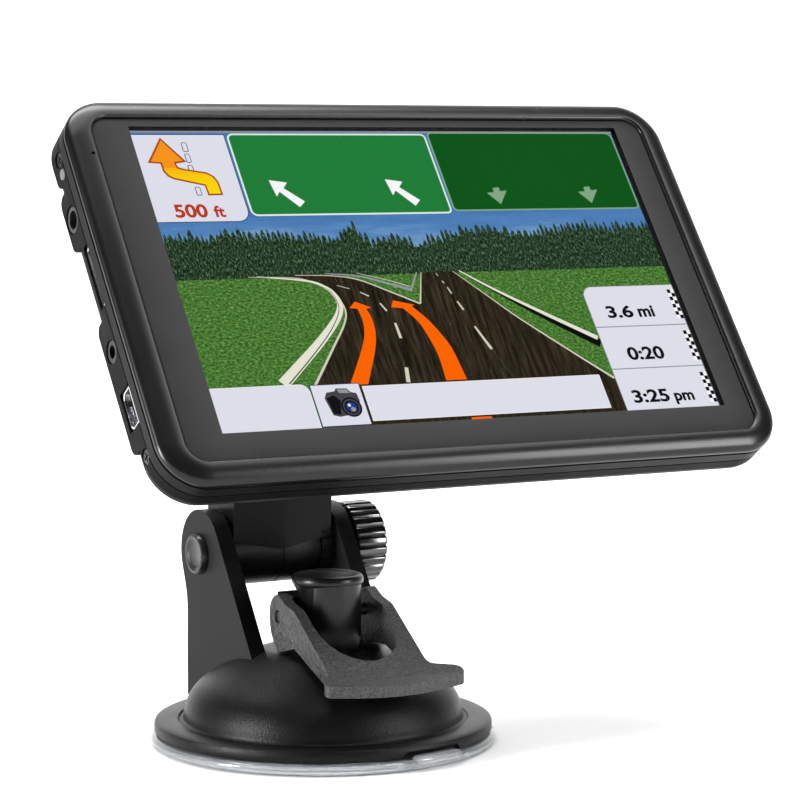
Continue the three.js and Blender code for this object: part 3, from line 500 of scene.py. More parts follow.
# ------------------------------------------------------------------ navigator: the lit display
DISPLAY_LEVEL = -1.56
DISPLAY_FINISHES = [
    lit("lit_lavender", tone(225, 226, 237)),
    lit("lit_sign_green", tone(33, 126, 58)),
    lit("lit_sign_dark", tone(15, 86, 27)),
    lit("lit_sign_border", tone(228, 240, 230)),
    lit("lit_pale_green", tone(132, 168, 134)),
    lit_pattern(
        "lit_sky", [tone(68, 116, 176), tone(84, 132, 188), tone(132, 170, 206)], 5, (1, 6, 1), 3, 0.35,
        1.05, (0.08, 0.16, 0.42, 0.0),
    ),
    lit_pattern(
        "lit_trees", [tone(8, 20, 12), tone(28, 50, 32), tone(50, 76, 50), tone(112, 134, 108)], 150,
        (2.2, 0.8, 1), 4, 0.36, 0.66,
    ),
    lit_pattern(
        "lit_grass", [tone(32, 68, 22), tone(60, 108, 42), tone(90, 138, 62), tone(138, 178, 104)], 150,
        (1, 1.6, 1), 5, 0.33, 0.70,
    ),
    lit_pattern(
        "lit_road", [tone(22, 19, 12), tone(38, 33, 23), tone(56, 48, 35), tone(76, 65, 48)], 50,
        (2.4, 0.2, 1), 5, 0.34, 0.70,
    ),
    lit("lit_line", tone(214, 210, 190)),
    lit("lit_rail", tone(232, 230, 214)),
    lit("lit_rail_shade", tone(70, 74, 58)),
    lit("lit_orange", tone(255, 102, 0)),
    lit("lit_arrow_edge", tone(168, 70, 24)),
    lit_pattern(
        "lit_arrow_fill", [tone(255, 220, 20), tone(255, 208, 12), tone(255, 180, 16), tone(250, 150, 30)],
        1, (0.01, 0.01, 1), 0, 0.5, 1.5, (0.2, 0.335, 0.0, 1.0),
    ),
    lit("lit_red_text", tone(188, 58, 26)),
    lit("lit_black", tone(20, 20, 26)),
    lit("lit_white", tone(250, 250, 252)),
    lit("lit_navy_line", tone(44, 50, 88)),
    lit("lit_grey", tone(70, 70, 74)),
    lit("lit_blue", tone(36, 58, 132)),
    lit("lit_dark_edge", tone(14, 15, 15)),
    lit("lit_steel", tone(150, 150, 158)),
]
(
    LAVENDER, SIGN_GREEN, SIGN_DARK, SIGN_BORDER, PALE_GREEN, SKY, TREES, GRASS, ROAD, LINE, RAIL, RAIL_SHADE,
    ORANGE, ARROW_EDGE, ARROW_FILL, RED_FIGURES, INK, WHITE, NAVY, GREY, BLUE, DARK_EDGE, SILVER,
) = range(len(DISPLAY_FINISHES))  # the finishes above, in their order
LAYER = 0.012  # each level of the picture lies this much above the one before
display = bmesh.new()


def patch(points, level, finish):
    face = display.faces.new([display.verts.new((x, y, level * LAYER)) for x, y in points])
    face.normal_update()
    if face.normal.z < 0:
        face.normal_flip()
    face.material_index = finish
    return face


def curve(points, steps=5):
    """Points on a smooth line through the given ones."""
    ends = [
        2 * Vector(points[0]) - Vector(points[1]), *map(Vector, points),
        2 * Vector(points[-1]) - Vector(points[-2]),
    ]
    line = []
    for i in range(1, len(ends) - 2):
        a, b, c, d = ends[i - 1 : i + 3]
        for k in range(steps):
            t = k / steps
            line.append(
                0.5 * (
                    2 * b + (c - a) * t + (
                        2 * a - 5 * b + 4 * c - d
                    ) * t * t + (3 * b - a - 3 * c + d) * t ** 3
                )
            )
    line.append(Vector(points[-1]))
    return [(p.x, p.y) for p in line]


def ribbon(left_side, right_side, level, finish):
    patch(curve(left_side) + curve(right_side)[::-1], level, finish)


def stripe(points, start, end, level, finish, steps=6):
    line = curve(points, steps)
    last = len(line) - 1
    left_side, right_side = [], []
    for i, (x, y) in enumerate(line):
        before, after = Vector(line[max(i - 1, 0)]), Vector(line[min(i + 1, last)])
        way = (after - before).normalized()
        half = (start + (end - start) * i / last) / 2
        left_side.append((x - way.y * half, y + way.x * half))
        right_side.append((x + way.y * half, y - way.x * half))
    patch(left_side + right_side[::-1], level, finish)


def panel(x0, x1, y0, y1, level, finish, corners=(0, 0, 0, 0)):
    """A flat rectangle whose corners, from low left anticlockwise, are rounded by those radii."""
    points = []
    spots = [(x0, y0, 180), (x1, y0, 270), (x1, y1, 0), (x0, y1, 90)]
    for (x, y, start), radius in zip(spots, corners):
        if not radius:
            points.append((x, y))
            continue
        cx = x + math.copysign(radius, (x0 + x1) / 2 - x)
        cy = y + math.copysign(radius, (y0 + y1) / 2 - y)
        for i in range(7):
            angle = math.radians(start + 15 * i)
            points.append((cx + radius * math.cos(angle), cy + radius * math.sin(angle)))
    patch(points, level, finish)


def framed(x0, x1, y0, y1, level, edge, fill, line, corners=(0, 0, 0, 0)):
    panel(x0, x1, y0, y1, level, edge, corners)
    panel(
        x0 + line, x1 - line, y0 + line, y1 - line, level + 1, fill,
        tuple(max(r - line, 0) for r in corners),
    )


FIGURE_HEIGHT = 0.7  # of a figure in the typeface, for a type size of 1


def lettering(words, x0, x1, low, high, level, finish, weight=0.03):
    """Plain figures, made a mesh and fitted between x0 and x1 with their feet at low."""
    font = bpy.data.curves.new("figures", "FONT")
    font.body = words
    font.offset = weight
    obj = bpy.data.objects.new("figures", font)
    bpy.context.scene.collection.objects.link(obj)
    mesh = bpy.data.meshes.new_from_object(obj.evaluated_get(bpy.context.evaluated_depsgraph_get()))
    xs = [v.co.x for v in mesh.vertices]
    mesh.transform(
        Matrix.Translation((x0, low, level * LAYER))
        @ Matrix.Diagonal(((x1 - x0) / (max(xs) - min(xs)), (high - low) / FIGURE_HEIGHT, 0, 1))
        @ Matrix.Translation((-min(xs), 0, 0))
    )
    before = set(display.faces)
    display.from_mesh(mesh)
    for face in set(display.faces) - before:
        face.material_index = finish
        if face.normal.z < 0:
            face.normal_flip()
    bpy.data.objects.remove(obj)
    bpy.data.curves.remove(font)
    bpy.data.meshes.remove(mesh)


L, R, LOW, HIGH = PICTURE["left"], PICTURE["right"], PICTURE["low"], PICTURE["high"]
panel(L, R, LOW, HIGH, 0, DARK_EDGE)
panel(L, R, 8.0, HIGH - 0.2, 1, SKY)
panel(L, R, -30.6, 2.1, 1, GRASS)

# trees: a ragged top line, sharper where the tall ones stand
TREE_LINE = [
    (-53.4, 11.6), (-46, 11.7), (-43.9, 10.8), (-40.4, 12.4), (-36.7, 12.5), (-35, 10.8), (-31, 11.8),
    (-26.7, 11.2),
    (-21.3, 11.3), (-18.7, 10), (-15.6, 11.8), (-13, 13.7), (-11.5, 11.4), (-10, 9.2), (-5.6, 10.7),
    (-3.4, 10.2),
    (-1.9, 11.4), (-0.4, 8.6), (2.4, 9.8), (9.8, 11.6), (15, 12.4), (20.7, 11.6), (27.1, 11.3), (33, 12.1),
    (38.3, 12.8), (45.3, 12.1), (55.1, 12.5),
]


def tree_height(x):
    for (xa, ya), (xb, yb) in zip(TREE_LINE, TREE_LINE[1:]):
        if xa <= x <= xb:
            return ya + (yb - ya) * (x - xa) / (xb - xa)
    return TREE_LINE[-1][1]


crowns = []
x = L
while x < R - 0.5:
    top = tree_height(x)
    wide = random.uniform(0.7, 1.5)
    rise = random.uniform(0.0, 1.5)
    crowns.append((x, top - random.uniform(0.8, 2.0)))
    for share, drop in (
        (0.16, 0.75), (0.2, 0.9), (0.3, 0.4), (0.36, 0.5), (0.46, 0.0), (0.6, 0.45), (0.64, 0.35),
        (0.78, 0.85),
    ):
        crowns.append((x + wide * share, top + rise - drop * random.uniform(0.8, 1.5)))
    x += wide
patch([(L, 1.7), (R, 2.1), (R, 11.5)] + crowns[::-1], 2, TREES)

# roads, from far to near
ROAD_LEFT = [
    (-37.8, 2.0), (-28.5, 1.55), (-24.3, 0.3), (-21.9, -1.3), (-20.5, -3.5), (-20.1, -6.2), (-21.5, -9.2),
    (-25.1, -13.8), (-28.4, -18), (-31.6, -22),
]
ROAD_RIGHT = [(6.0, 2.2), (11.7, -3.6), (17.1, -9.05), (26.7, -17.6), (33.3, -23.3), (40, -29.2)]
patch(
    curve(ROAD_LEFT) + [(-31.6, -30.6), (40, -30.6)] + curve(ROAD_RIGHT)[::-1]
    + [(-1.0, 2.2), (-3.6, -4.8)]
    + curve([(-3.6, -4.9), (-9.2, -2.0), (-15.2, 0.9), (-20.7, 1.9), (-28, 2.2)])[1:],
    3, ROAD,
)
stripe(
    [
        (-37.8, 2.05), (-28.5, 1.65), (-24.3, 0.4), (-21.8, -1.3), (-20.4, -3.5), (-20.0, -6.2),
        (-21.4, -9.2), (-25.0, -13.8), (-28.3, -18), (-31.5, -22),
    ],
    0.1, 0.5, 4, LINE,
)
stripe(
    [
        (-36, 2.1), (-26, 0.9), (-22.6, -0.6), (-21.1, -2.4), (-20.75, -4.85), (-22.6, -7.9),
        (-27.3, -12.5), (-32.6, -17), (-37.6, -21.2),
    ],
    0.15, 2.3, 4, RAIL,
)
stripe(
    [
        (-26, 0.6), (-22.4, -1.0), (-21.2, -3.0), (-21.4, -6.0), (-24.6, -10.4), (-30.0, -15.6),
        (-36.4, -21.2),
    ],
    0.05, 0.25, 5, RAIL_SHADE,
)
stripe([(-28, 2.2), (-20.7, 1.9), (-15.2, 0.9), (-9.2, -2.0), (-3.6, -4.9)], 0.12, 0.35, 4, LINE)
stripe([(-3.55, -4.9), (-1.0, 2.2)], 0.35, 0.15, 4, LINE, 2)
stripe([(-21.6, 2.4), (-15, 1.7), (-8.6, -0.3), (-4.4, -1.8)], 0.2, 0.7, 4, SILVER)
stripe([(-4.6, -1.9), (-2.0, 2.2)], 0.55, 0.25, 4, SILVER, 2)
stripe([(-15, 2.35), (-8.6, 0.5), (-4.6, -1.0)], 0.08, 0.15, 5, RAIL)
stripe([(6.0, 2.2), (11.7, -3.6), (17.1, -9.05), (26.7, -17.6), (33.3, -23.3)], 0.12, 0.45, 4, LINE)
stripe([(7.6, 2.1), (13.8, -2.5), (22.6, -8.6), (33.2, -15.4)], 0.2, 1.9, 4, DARK_EDGE)
stripe([(7.4, 2.3), (13.6, -2.1), (22.4, -7.7), (33.0, -14.1)], 0.25, 1.0, 5, RAIL)

for points, start, end in (
    ([(-20, -0.3), (-17.6, -1.1)], 0.12, 0.16),
    ([(-15.6, -1.95), (-14.0, -2.9)], 0.22, 0.28),
    ([(-12.2, -4.5), (-11.3, -6.3)], 0.3, 0.4),
    ([(-10.4, -9.0), (-10.3, -12.4)], 0.5, 0.62),
    ([(-11.3, -18.8), (-11.9, -22)], 0.75, 0.85),
    ([(2.15, 1.9), (2.4, 1.2)], 0.14, 0.18),
    ([(2.9, 0.1), (3.15, -0.5)], 0.2, 0.24),
    ([(3.55, -1.4), (4.0, -2.9)], 0.26, 0.32),
    ([(4.6, -4.65), (5.35, -6.65)], 0.34, 0.4),
    ([(6.45, -10.4), (8.4, -15.6)], 0.42, 0.62),
):
    stripe(points, start, end, 5, LINE, 2)
stripe([(-14.0, -2.9), (-11.3, -6.3), (-10.3, -9.6), (-10.4, -14), (-11.6, -21)], 0.07, 0.14, 4, INK)
stripe([(5.35, -6.65), (6.4, -10.4), (8.4, -15.6), (11, -22)], 0.07, 0.14, 4, RAIL_SHADE)

# the two lane arrows
ribbon(
    [(-17.4, -5.2), (-17.1, -8.5), (-18.0, -12.0), (-20.4, -16.2), (-24.2, -22)],
    [(-15.7, -5.2), (-15.0, -7.7), (-15.3, -11.2), (-16.7, -15.0), (-20.4, -22)], 6, ORANGE,
)
patch([(-19.0, -5.4), (-17.4, -4.0), (-14.3, -5.45), (-15.7, -5.7), (-17.4, -5.6)], 6, ORANGE)
ribbon(
    [(-7.9, -5.5), (-5.4, -8.9), (-4.2, -12.9), (-3.6, -16.7), (-3.8, -22)],
    [(-5.9, -5.1), (-3.3, -8.3), (-1.4, -11.8), (-0.1, -15.4), (0.7, -22)], 6, ORANGE,
)
patch([(-10.1, -5.5), (-9.2, -4.0), (-5.0, -5.1), (-5.8, -5.6), (-7.9, -5.8)], 6, ORANGE)
patch([(-1.4, -31.0), (3.3, -31.0), (3.1, -30.2), (-1.2, -30.2)], 6, ORANGE)

# the turn tile
framed(L, -33.3, 14.4, HIGH - 0.7, 7, NAVY, LAVENDER, 0.16, (0, 2.6, 0, 0))
for x0, x1, y0, y1 in (
    (-42.9, -41.7, 30.4, 32.6), (-42.9, -41.8, 27.9, 30.0), (-43.0, -41.9, 25.9, 27.4),
    (-42.9, -41.75, 20.4, 22.4),
):
    framed(x0, x1, y0, y1, 9, GREY, LAVENDER, 0.16, (0.35, 0.35, 0.35, 0.35))
TURN = [
    (-46.85, 33.7), (-42.9, 28.1), (-45.2, 27.7), (-44.95, 26.9), (-43.9, 26.5), (-39.5, 25.7),
    (-38.2, 24.8), (-37.6, 23.4), (-37.5, 20.45), (-40.6, 20.4), (-40.7, 22.6), (-46.6, 24.1),
    (-47.7, 24.8), (-48.3, 25.9), (-48.4, 27.7), (-50.9, 27.9),
]
INNER_TURN = [
    (-46.85, 33.1), (-43.6, 28.35), (-45.55, 28.05), (-45.3, 26.6), (-44.1, 26.2), (-39.7, 25.35),
    (-38.55, 24.6), (-37.95, 23.3), (-37.85, 20.8), (-40.25, 20.75), (-40.4, 22.9), (-46.4, 24.45),
    (-47.4, 25.1), (-47.95, 26.1), (-48.0, 28.0), (-50.2, 28.2),
]
patch(TURN, 11, ARROW_EDGE)
patch(INNER_TURN, 12, ARROW_FILL)
lettering("500", -48.5, -41.8, 15.6, 18.4, 9, RED_FIGURES)
lettering("ft", -40.5, -38.2, 15.6, 18.0, 9, RED_FIGURES)

# the two signs with their arrows
framed(-32.9, 10.75, 15.6, HIGH - 0.5, 7, SIGN_BORDER, SIGN_GREEN, 0.38, (1.4, 1.1, 1.1, 1.4))
framed(11.15, 54.95, 16.1, HIGH - 0.1, 7, PALE_GREEN, SIGN_DARK, 0.34, (1.1, 1.1, 1.6, 1.2))
UP_ARROW = [
    (-27.0, 23.8), (-23.3, 23.2), (-24.4, 21.9), (-20.8, 18.8), (-22.2, 17.5), (-25.5, 21.1), (-26.4, 20.0),
]
for shift in (0, 25.2):
    patch([(x + shift, y) for x, y in UP_ARROW], 9, WHITE)
DOWN_ARROW = [
    (21.8, 21.5), (23.3, 21.7), (23.3, 20.7), (24.9, 20.9), (22.4, 17.6), (20.1, 20.4), (21.8, 20.5),
]
for shift in (0, 21.4):
    patch([(x + shift, y) for x, y in DOWN_ARROW], 9, PALE_GREEN)

# the lower bars and the camera tile
framed(L, -32.75, LOW, -21.4, 7, WHITE, LAVENDER, 0.12, (0, 0, 1.8, 0))
framed(-32.6, -22.3, -30.6, -21.6, 7, NAVY, LAVENDER, 0.18)
framed(-21.9, 30.1, -29.85, -22.35, 7, WHITE, LAVENDER, 0.12)
CAMERA = [
    (-30.3, -24.6), (-29.6, -23.4), (-27.9, -23.2), (-27.4, -22.6), (-25.2, -22.7), (-24.6, -23.5),
    (-23.5, -23.8), (-23.3, -25.4), (-24.0, -28.0), (-28.3, -28.6), (-29.6, -28.2),
]
patch(CAMERA, 9, GREY)
patch([(-29.9, -24.6), (-28.3, -24.0), (-27.2, -25.2), (-28.0, -28.2), (-29.4, -27.9)], 10, INK)


def disc(x, y, radius, level, finish):
    patch(
        [
            (x + radius * math.cos(math.pi * i / 12), y + radius * math.sin(math.pi * i / 12))
            for i in range(24)
        ],
        level, finish,
    )


for radius, level, finish in ((2.1, 11, INK), (1.75, 12, GREY), (1.4, 13, INK), (1.1, 14, BLUE)):
    disc(-25.4, -26.7, radius, level, finish)
disc(-25.8, -26.3, 0.32, 15, WHITE)
disc(-25.2, -27.2, 0.5, 15, SILVER)
patch([(-27.3, -22.8), (-25.3, -22.9), (-24.8, -23.7), (-27.0, -23.6)], 10, SILVER)

# the three readouts with their chequered strips
framed(33.4, R, LOW + 0.05, -2.3, 7, SILVER, LAVENDER, 0.14, (0, 0, 0, 2.4))
for y in (-11.75, -21.37):
    panel(33.4, R, y - 0.12, y + 0.12, 9, SILVER)
lettering("3.6", 37.3, 43.4, -9.6, -7.0, 9, INK)
lettering("mi", 44.6, 48.4, -9.6, -7.0, 9, INK, 0.035)
lettering("0:20", 38.4, 46.9, -19.35, -16.6, 9, INK)
lettering("3:25", 35.8, 44.2, -29.0, -26.3, 9, INK)
lettering("pm", 45.4, 50.0, -29.0, -26.6, 9, INK, 0.035)
for foot in (-10.4, -20.1, -29.8):
    for row in range(8):
        for column in range(2):
            x0 = 53.4 + 0.8 * column
            y0 = foot + 0.86 * row
            panel(x0, x0 + 0.8, y0, y0 + 0.86, 9, INK if (row + column) % 2 else WHITE)
panel(L, R, HIGH - 0.35, HIGH, 16, SILVER)

bmesh.ops.triangulate(display, faces=display.faces[:], quad_method="BEAUTY", ngon_method="EAR_CLIP")
MAP_WIDTH = 100  # millimetres to one unit of the map
mapped = display.loops.layers.uv.verify()
for face in display.faces:
    for corner in face.loops:
        corner[mapped].uv = (corner.vert.co.x / MAP_WIDTH, corner.vert.co.y / MAP_WIDTH)
bmesh.ops.translate(display, vec=(0, 0, DISPLAY_LEVEL), verts=display.verts)
for i, finish in enumerate(DISPLAY_FINISHES):
    FINISH[f"display_{i}"] = finish
piece(
    "display_picture", display, "navigator", "lcd_metal",
    [f"display_{i}" for i in range(len(DISPLAY_FINISHES))], SCREEN,
)

# ------------------------------------------------------------------ navigator: band, rear case and openings
carried("trim_ring", "grey_band", "navigator", "trim_satin", ["trim"], 0.18, smooth=30)
carried("rear_case", "rear_shell", "navigator", "case_black", ["case"], 0.3, smooth=32)
for i in range(1, 5):
    carried(f"case_screw_{i}", f"side_screw_{i}", "navigator", "screw_steel", ["bolt"], 0.06)
carried("headphone_socket", "headphone_jack", "navigator", "socket_nickel", ["worn"], 0.1)
carried("av_socket", "av_jack", "navigator", "socket_black", ["socket"], 0.1)
carried("card_socket", "card_cage", "navigator", "cage_steel", ["nickel"], 0.08)
carried("usb_socket", "usb_shell", "navigator", "usb_steel", ["nickel"], 0.06)
carried("light_pipe", "light_window", "navigator", "pipe_clear", ["pipe"], 0.15)
carried("power_button", "power_key_top", "power_key", "button_black", ["button"], 0.22)

# ------------------------------------------------------------------ mount
PAD = {"radius": 32.4, "thickness": 1.8, "middle": 2.0}
BORE = 2.15  # radius of the hole that the pivot screw runs through
FLANGE = {"radius": 31.7, "low": 2.0, "high": 4.4}
DOME = {"foot": 4.8, "top": 17.4, "roof": 12.9, "wall": 2.2, "crown": 10.0}
# radius of the dome and height above its foot, from the foot up to the flat top
DOME_SIDE = [
    (26.3, 0), (26.1, 1.4), (25.5, 3.1), (24.5, 4.8), (23.2, 6.2), (21.5, 7.5), (19.5, 8.7), (17.3, 9.9),
    (15.0, 11.1), (13.0, 12.0), (11.0, 12.6),
]
ARM = {
    "inner": 11.4, "thickness": 3.2, "head": 8.5, "from": -20, "to": 146, "front_foot": -7.0,
    "back_foot": 28.6, "waist": 23.5,
}
TAB = {"half": 5.2, "turn": math.radians(11), "reach": 33.7}


def quarter(radius, low, top, flat, steps):
    return [
        (
            flat + (radius - flat) * math.cos(math.pi / 2 * i / steps),
            low + (top - low) * math.sin(math.pi / 2 * i / steps),
        )
        for i in range(steps + 1)
    ]


def arm_outline():
    points, steps = [], 40
    for i in range(steps + 1):
        angle = math.radians(ARM["from"] + (ARM["to"] - ARM["from"]) * i / steps)
        points.append((PIVOT.y + ARM["head"] * math.cos(angle), PIVOT.z + ARM["head"] * math.sin(angle)))
    foot = FLANGE["high"] + 0.5
    rear = curve(
        [(ARM["back_foot"], foot), (ARM["back_foot"], 14.0), (ARM["back_foot"], ARM["waist"]), points[0]],
        8,
    )
    return points + [(ARM["front_foot"], foot)] + rear[:-1]


def arm_plate(x):
    bm = slab(arm_outline(), x, x + ARM["thickness"])
    bmesh.ops.transform(bm, matrix=ALONG_X, verts=bm.verts)
    return bm


POST = {"half": 6.5, "radius": 5.9, "front": -1.8, "back": 6.0, "top": 31.6, "disc": 6.8}


def post_outline(grow=0.0):
    half, radius = POST["half"] + grow, POST["radius"] + grow
    points = [
        (half, POST["back"] + grow), (-half, POST["back"] + grow), (-half, POST["front"] + 1 - grow),
        (-radius, POST["front"]),
    ]
    points += [
        (-radius * math.cos(math.pi * i / 24), POST["front"] - radius * math.sin(math.pi * i / 24))
        for i in range(1, 24)
    ]
    points += [(radius, POST["front"]), (half, POST["front"] + 1 - grow)]
    return points


def housing():
    low, high, foot, rim = FLANGE["low"], FLANGE["high"], DOME["foot"], DOME_SIDE[0][0]
    outer = [
        (rim - DOME["wall"], low), (FLANGE["radius"] - 0.5, low), (FLANGE["radius"] - 0.15, low + 0.12),
        (FLANGE["radius"], low + 0.45), (FLANGE["radius"], high - 0.8), (FLANGE["radius"] - 0.2, high - 0.3),
        (FLANGE["radius"] - 0.75, high), (rim + 1.0, high), (rim + 0.8, high - 0.25),
        (rim + 0.6, high - 0.25), (rim + 0.1, high + 0.1),
    ]
    outer += [(radius, foot + height) for radius, height in curve(DOME_SIDE, 4)] + [
        (10.0, DOME["top"]), (0, DOME["top"]),
    ]
    inner = quarter(rim - DOME["wall"], foot, DOME["roof"], DOME["crown"], 16)
    bm = turned([(0, DOME["roof"])] + inner[::-1] + outer, 144)
    for x in (-ARM["inner"] - ARM["thickness"], ARM["inner"]):
        bm = combined(bm, arm_plate(x))
    hole = slab(post_outline(0.4), DOME["roof"] - 2, DOME["top"] + 3)
    bm = combined(bm, hole, "DIFFERENCE")
    bore = at_pivot(turned([(0, -20), (BORE, -20), (BORE, 20), (0, 20)], 48))
    bm = combined(bm, bore, "DIFFERENCE")
    recess = block(
        -TAB["half"] - 1.6, TAB["half"] + 1.6, -FLANGE["radius"] - 2, -FLANGE["radius"] + 1.6, 0, 3.35,
    )
    softened(recess, 1.2, 6)
    bmesh.ops.rotate(recess, cent=(0, 0, 0), matrix=Matrix.Rotation(TAB["turn"], 3, "Z"), verts=recess.verts)
    bm = combined(bm, recess, "DIFFERENCE")
    # painted light: the arms' flat faces that look left and right take the lighter copy of the black, the rest
    # keeps the housing's own black
    for face in bm.faces:
        spot = face.calc_center_median()
        face.material_index = int(
            abs(face.normal.x) > 0.9 and abs(spot.x) > ARM["inner"] - 0.1 and spot.z > 9
        )
    return bm


piece(
    "mount_housing", housing(), "base", "base_black", ["housing", "arm_sides_painted_light"], stands_for=["base_housing"],
    smooth=34, edge=0.3, edge_angle=34,
)


def disc_of_pad():
    rim, thick = PAD["radius"], PAD["thickness"]
    bm = turned([
        (0, 0), (rim - 1.4, 0), (rim - 0.5, 0.1), (rim - 0.1, 0.45), (rim, 0.9), (rim - 0.15, 1.4),
        (rim - 0.6, 1.72), (rim - 1.2, thick),
        (12.2, thick), (11.9, thick + 0.2), (11.6, thick + PAD["middle"]), (0, thick + PAD["middle"]),
    ], 144)
    tab = block(-TAB["half"], TAB["half"], -TAB["reach"], -rim + 1.2, 1.0, 2.75)
    softened(tab, 0.8, 5)
    web = slab(
        [
            (-8.5, -rim + 0.8), (-TAB["half"], -TAB["reach"] + 0.7), (TAB["half"], -TAB["reach"] + 0.7),
            (8.5, -rim + 0.8),
        ],
        0.7, 1.5,
    )
    for shape in (tab, web):
        bmesh.ops.rotate(
            shape, cent=(0, 0, 0), matrix=Matrix.Rotation(TAB["turn"], 3, "Z"), verts=shape.verts,
        )
        bm = combined(bm, shape)
    return bm


suction_disc = piece(
    "suction_disc", disc_of_pad(), None, "pad_clear", ["pad"],
    stands_for=["suction_pad"], smooth=40,
)
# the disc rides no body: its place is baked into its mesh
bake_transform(suction_disc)


def stem():
    top, mid = POST["top"], Vector((0, POST["front"], 0))
    body = slab(post_outline(), 5.5, top - 4.0)
    foot = turned([(0, 4.0), (13.2, 4.0), (13.2, 6.0), (0, 6.0)], 72)
    bm = combined(body, foot)
    wide = POST["radius"] + 0.05
    nose = turned([(0, 14.6), (5.5, 14.6), (5.5, 18.6), (wide, 19.6), (wide, top - 1.0), (0, top - 1.0)], 96)
    bmesh.ops.translate(nose, vec=mid - Vector((0, 0.75, 0)), verts=nose.verts)
    bm = combined(bm, nose)
    cap = turned([
        (0, top - 3.2), (POST["radius"] - 0.2, top - 3.2), (POST["disc"] - 0.4, top - 1.9),
        (POST["disc"] - 0.1, top - 1.5), (POST["disc"] - 0.05, top - 0.9), (POST["disc"] - 0.2, top - 0.4),
        (POST["disc"] - 0.5, top - 0.1), (POST["disc"] - 0.9, top), (POST["disc"] - 1.3, top - 0.08),
        (POST["disc"] - 1.7, top - 0.3), (POST["disc"] - 3.0, top - 0.45), (0, top - 0.45),
    ], 96)
    bmesh.ops.translate(cap, vec=mid, verts=cap.verts)
    return combined(bm, cap)


piece(
    "clamp_post", stem(), "stem", "stem_black", ["stem"], stands_for=["clamp_stem"], smooth=34, edge=0.22,
    edge_angle=34,
)
carried("lever", "locking_lever", "lever", "lever_black", ["lever"], 0.45, smooth=34)
carried("lever_pin", "hinge_pin", "stem", "pin_steel", ["dark_steel"], 0.25)
carried("stem_spring", "return_spring", "stem", "spring_steel", ["steel"], 0.0)


def bolt():
    outside = ARM["inner"] + ARM["thickness"]
    face, back, end = -outside - 1.45, -outside - 0.15, 21.6
    return at_pivot(turned([
        (0, face + 0.55), (2.2, face + 0.5), (2.7, face + 0.35), (3.1, face + 0.05), (3.4, face),
        (3.7, face + 0.12), (3.9, face + 0.5), (3.9, back), (2.0, back), (2.0, end - 0.4), (1.7, end), (0, end),
    ], 64))


piece("pivot_screw", bolt(), "base", "bolt_black", ["bolt"], stands_for=["pivot_bolt"], smooth=40)


def fluted(radius, flutes, depth, levels):
    """A grip lofted through (level, inset) rings whose edge has narrow valleys."""
    bm = bmesh.new()
    count = flutes * 12
    bmesh.ops.create_circle(bm, cap_ends=True, segments=count, radius=1)
    face = bm.faces[:][0]
    for step, (level, inset) in enumerate(levels):
        if step:
            grown = bmesh.ops.extrude_discrete_faces(bm, faces=[face])["faces"]
            face = grown[0]
        for v in face.verts:
            angle = math.atan2(v.co.y, v.co.x)
            valley = (0.5 + 0.5 * math.cos(angle * flutes)) ** 6
            reach = radius - inset - depth * valley
            v.co = Vector((math.cos(angle), math.sin(angle), 0)) * reach + Vector((0, 0, level))
    return bm


KNOB = {
    "radius": 8.1, "gap": 0.3, "collar": 0.8, "length": 6.6, "rounding": 0.6, "flutes": 24, "valley": 0.4,
}


def knob():
    outside = ARM["inner"] + ARM["thickness"]
    start = outside + KNOB["gap"]
    grip, end = start + KNOB["collar"], start + KNOB["collar"] + KNOB["length"]
    rounding = KNOB["rounding"]
    levels = [(grip, rounding)]
    levels += [
        (grip + rounding * (1 - math.cos(a)), rounding * (1 - math.sin(a)))
        for a in (0.4, 0.8, 1.2, math.pi / 2)
    ]
    levels += [
        (end - rounding * (1 - math.cos(a)), rounding * (1 - math.sin(a)))
        for a in (math.pi / 2, 1.2, 0.8, 0.4, 0)
    ]
    bm = fluted(KNOB["radius"], KNOB["flutes"], KNOB["valley"], levels)
    collar = turned([(0, start), (4.8, start), (5.0, start + 0.2), (5.0, grip + 1.0), (0, grip + 1.0)], 64)
    bm = combined(bm, collar)
    dish = turned([(0, end - 0.45), (5.2, end - 0.45), (5.9, end + 0.01), (5.9, end + 1), (0, end + 1)], 64)
    bm = combined(bm, dish, "DIFFERENCE")
    bore = turned([(0, start - 0.1), (BORE, start - 0.1), (BORE, end - 1.1), (0, end - 1.1)], 48)
    return at_pivot(combined(bm, bore, "DIFFERENCE"))


piece("tightening_knob", knob(), "knob", "knob_gloss", ["knob"], stands_for=["tilt_knob"], smooth=32)
LEAN = math.acos(UP_SCREEN.y)
TONGUE = {
    "low": 1.8, "high": 29.8, "web_back": 31.7, "web_front": 36.0, "thickness": 1.8, "web": 10.0,
    "half": 13.0, "plate": 33.0,
}


def upright(v, w):
    return (v * math.cos(LEAN) - w * math.sin(LEAN), v * math.sin(LEAN) + w * math.cos(LEAN))


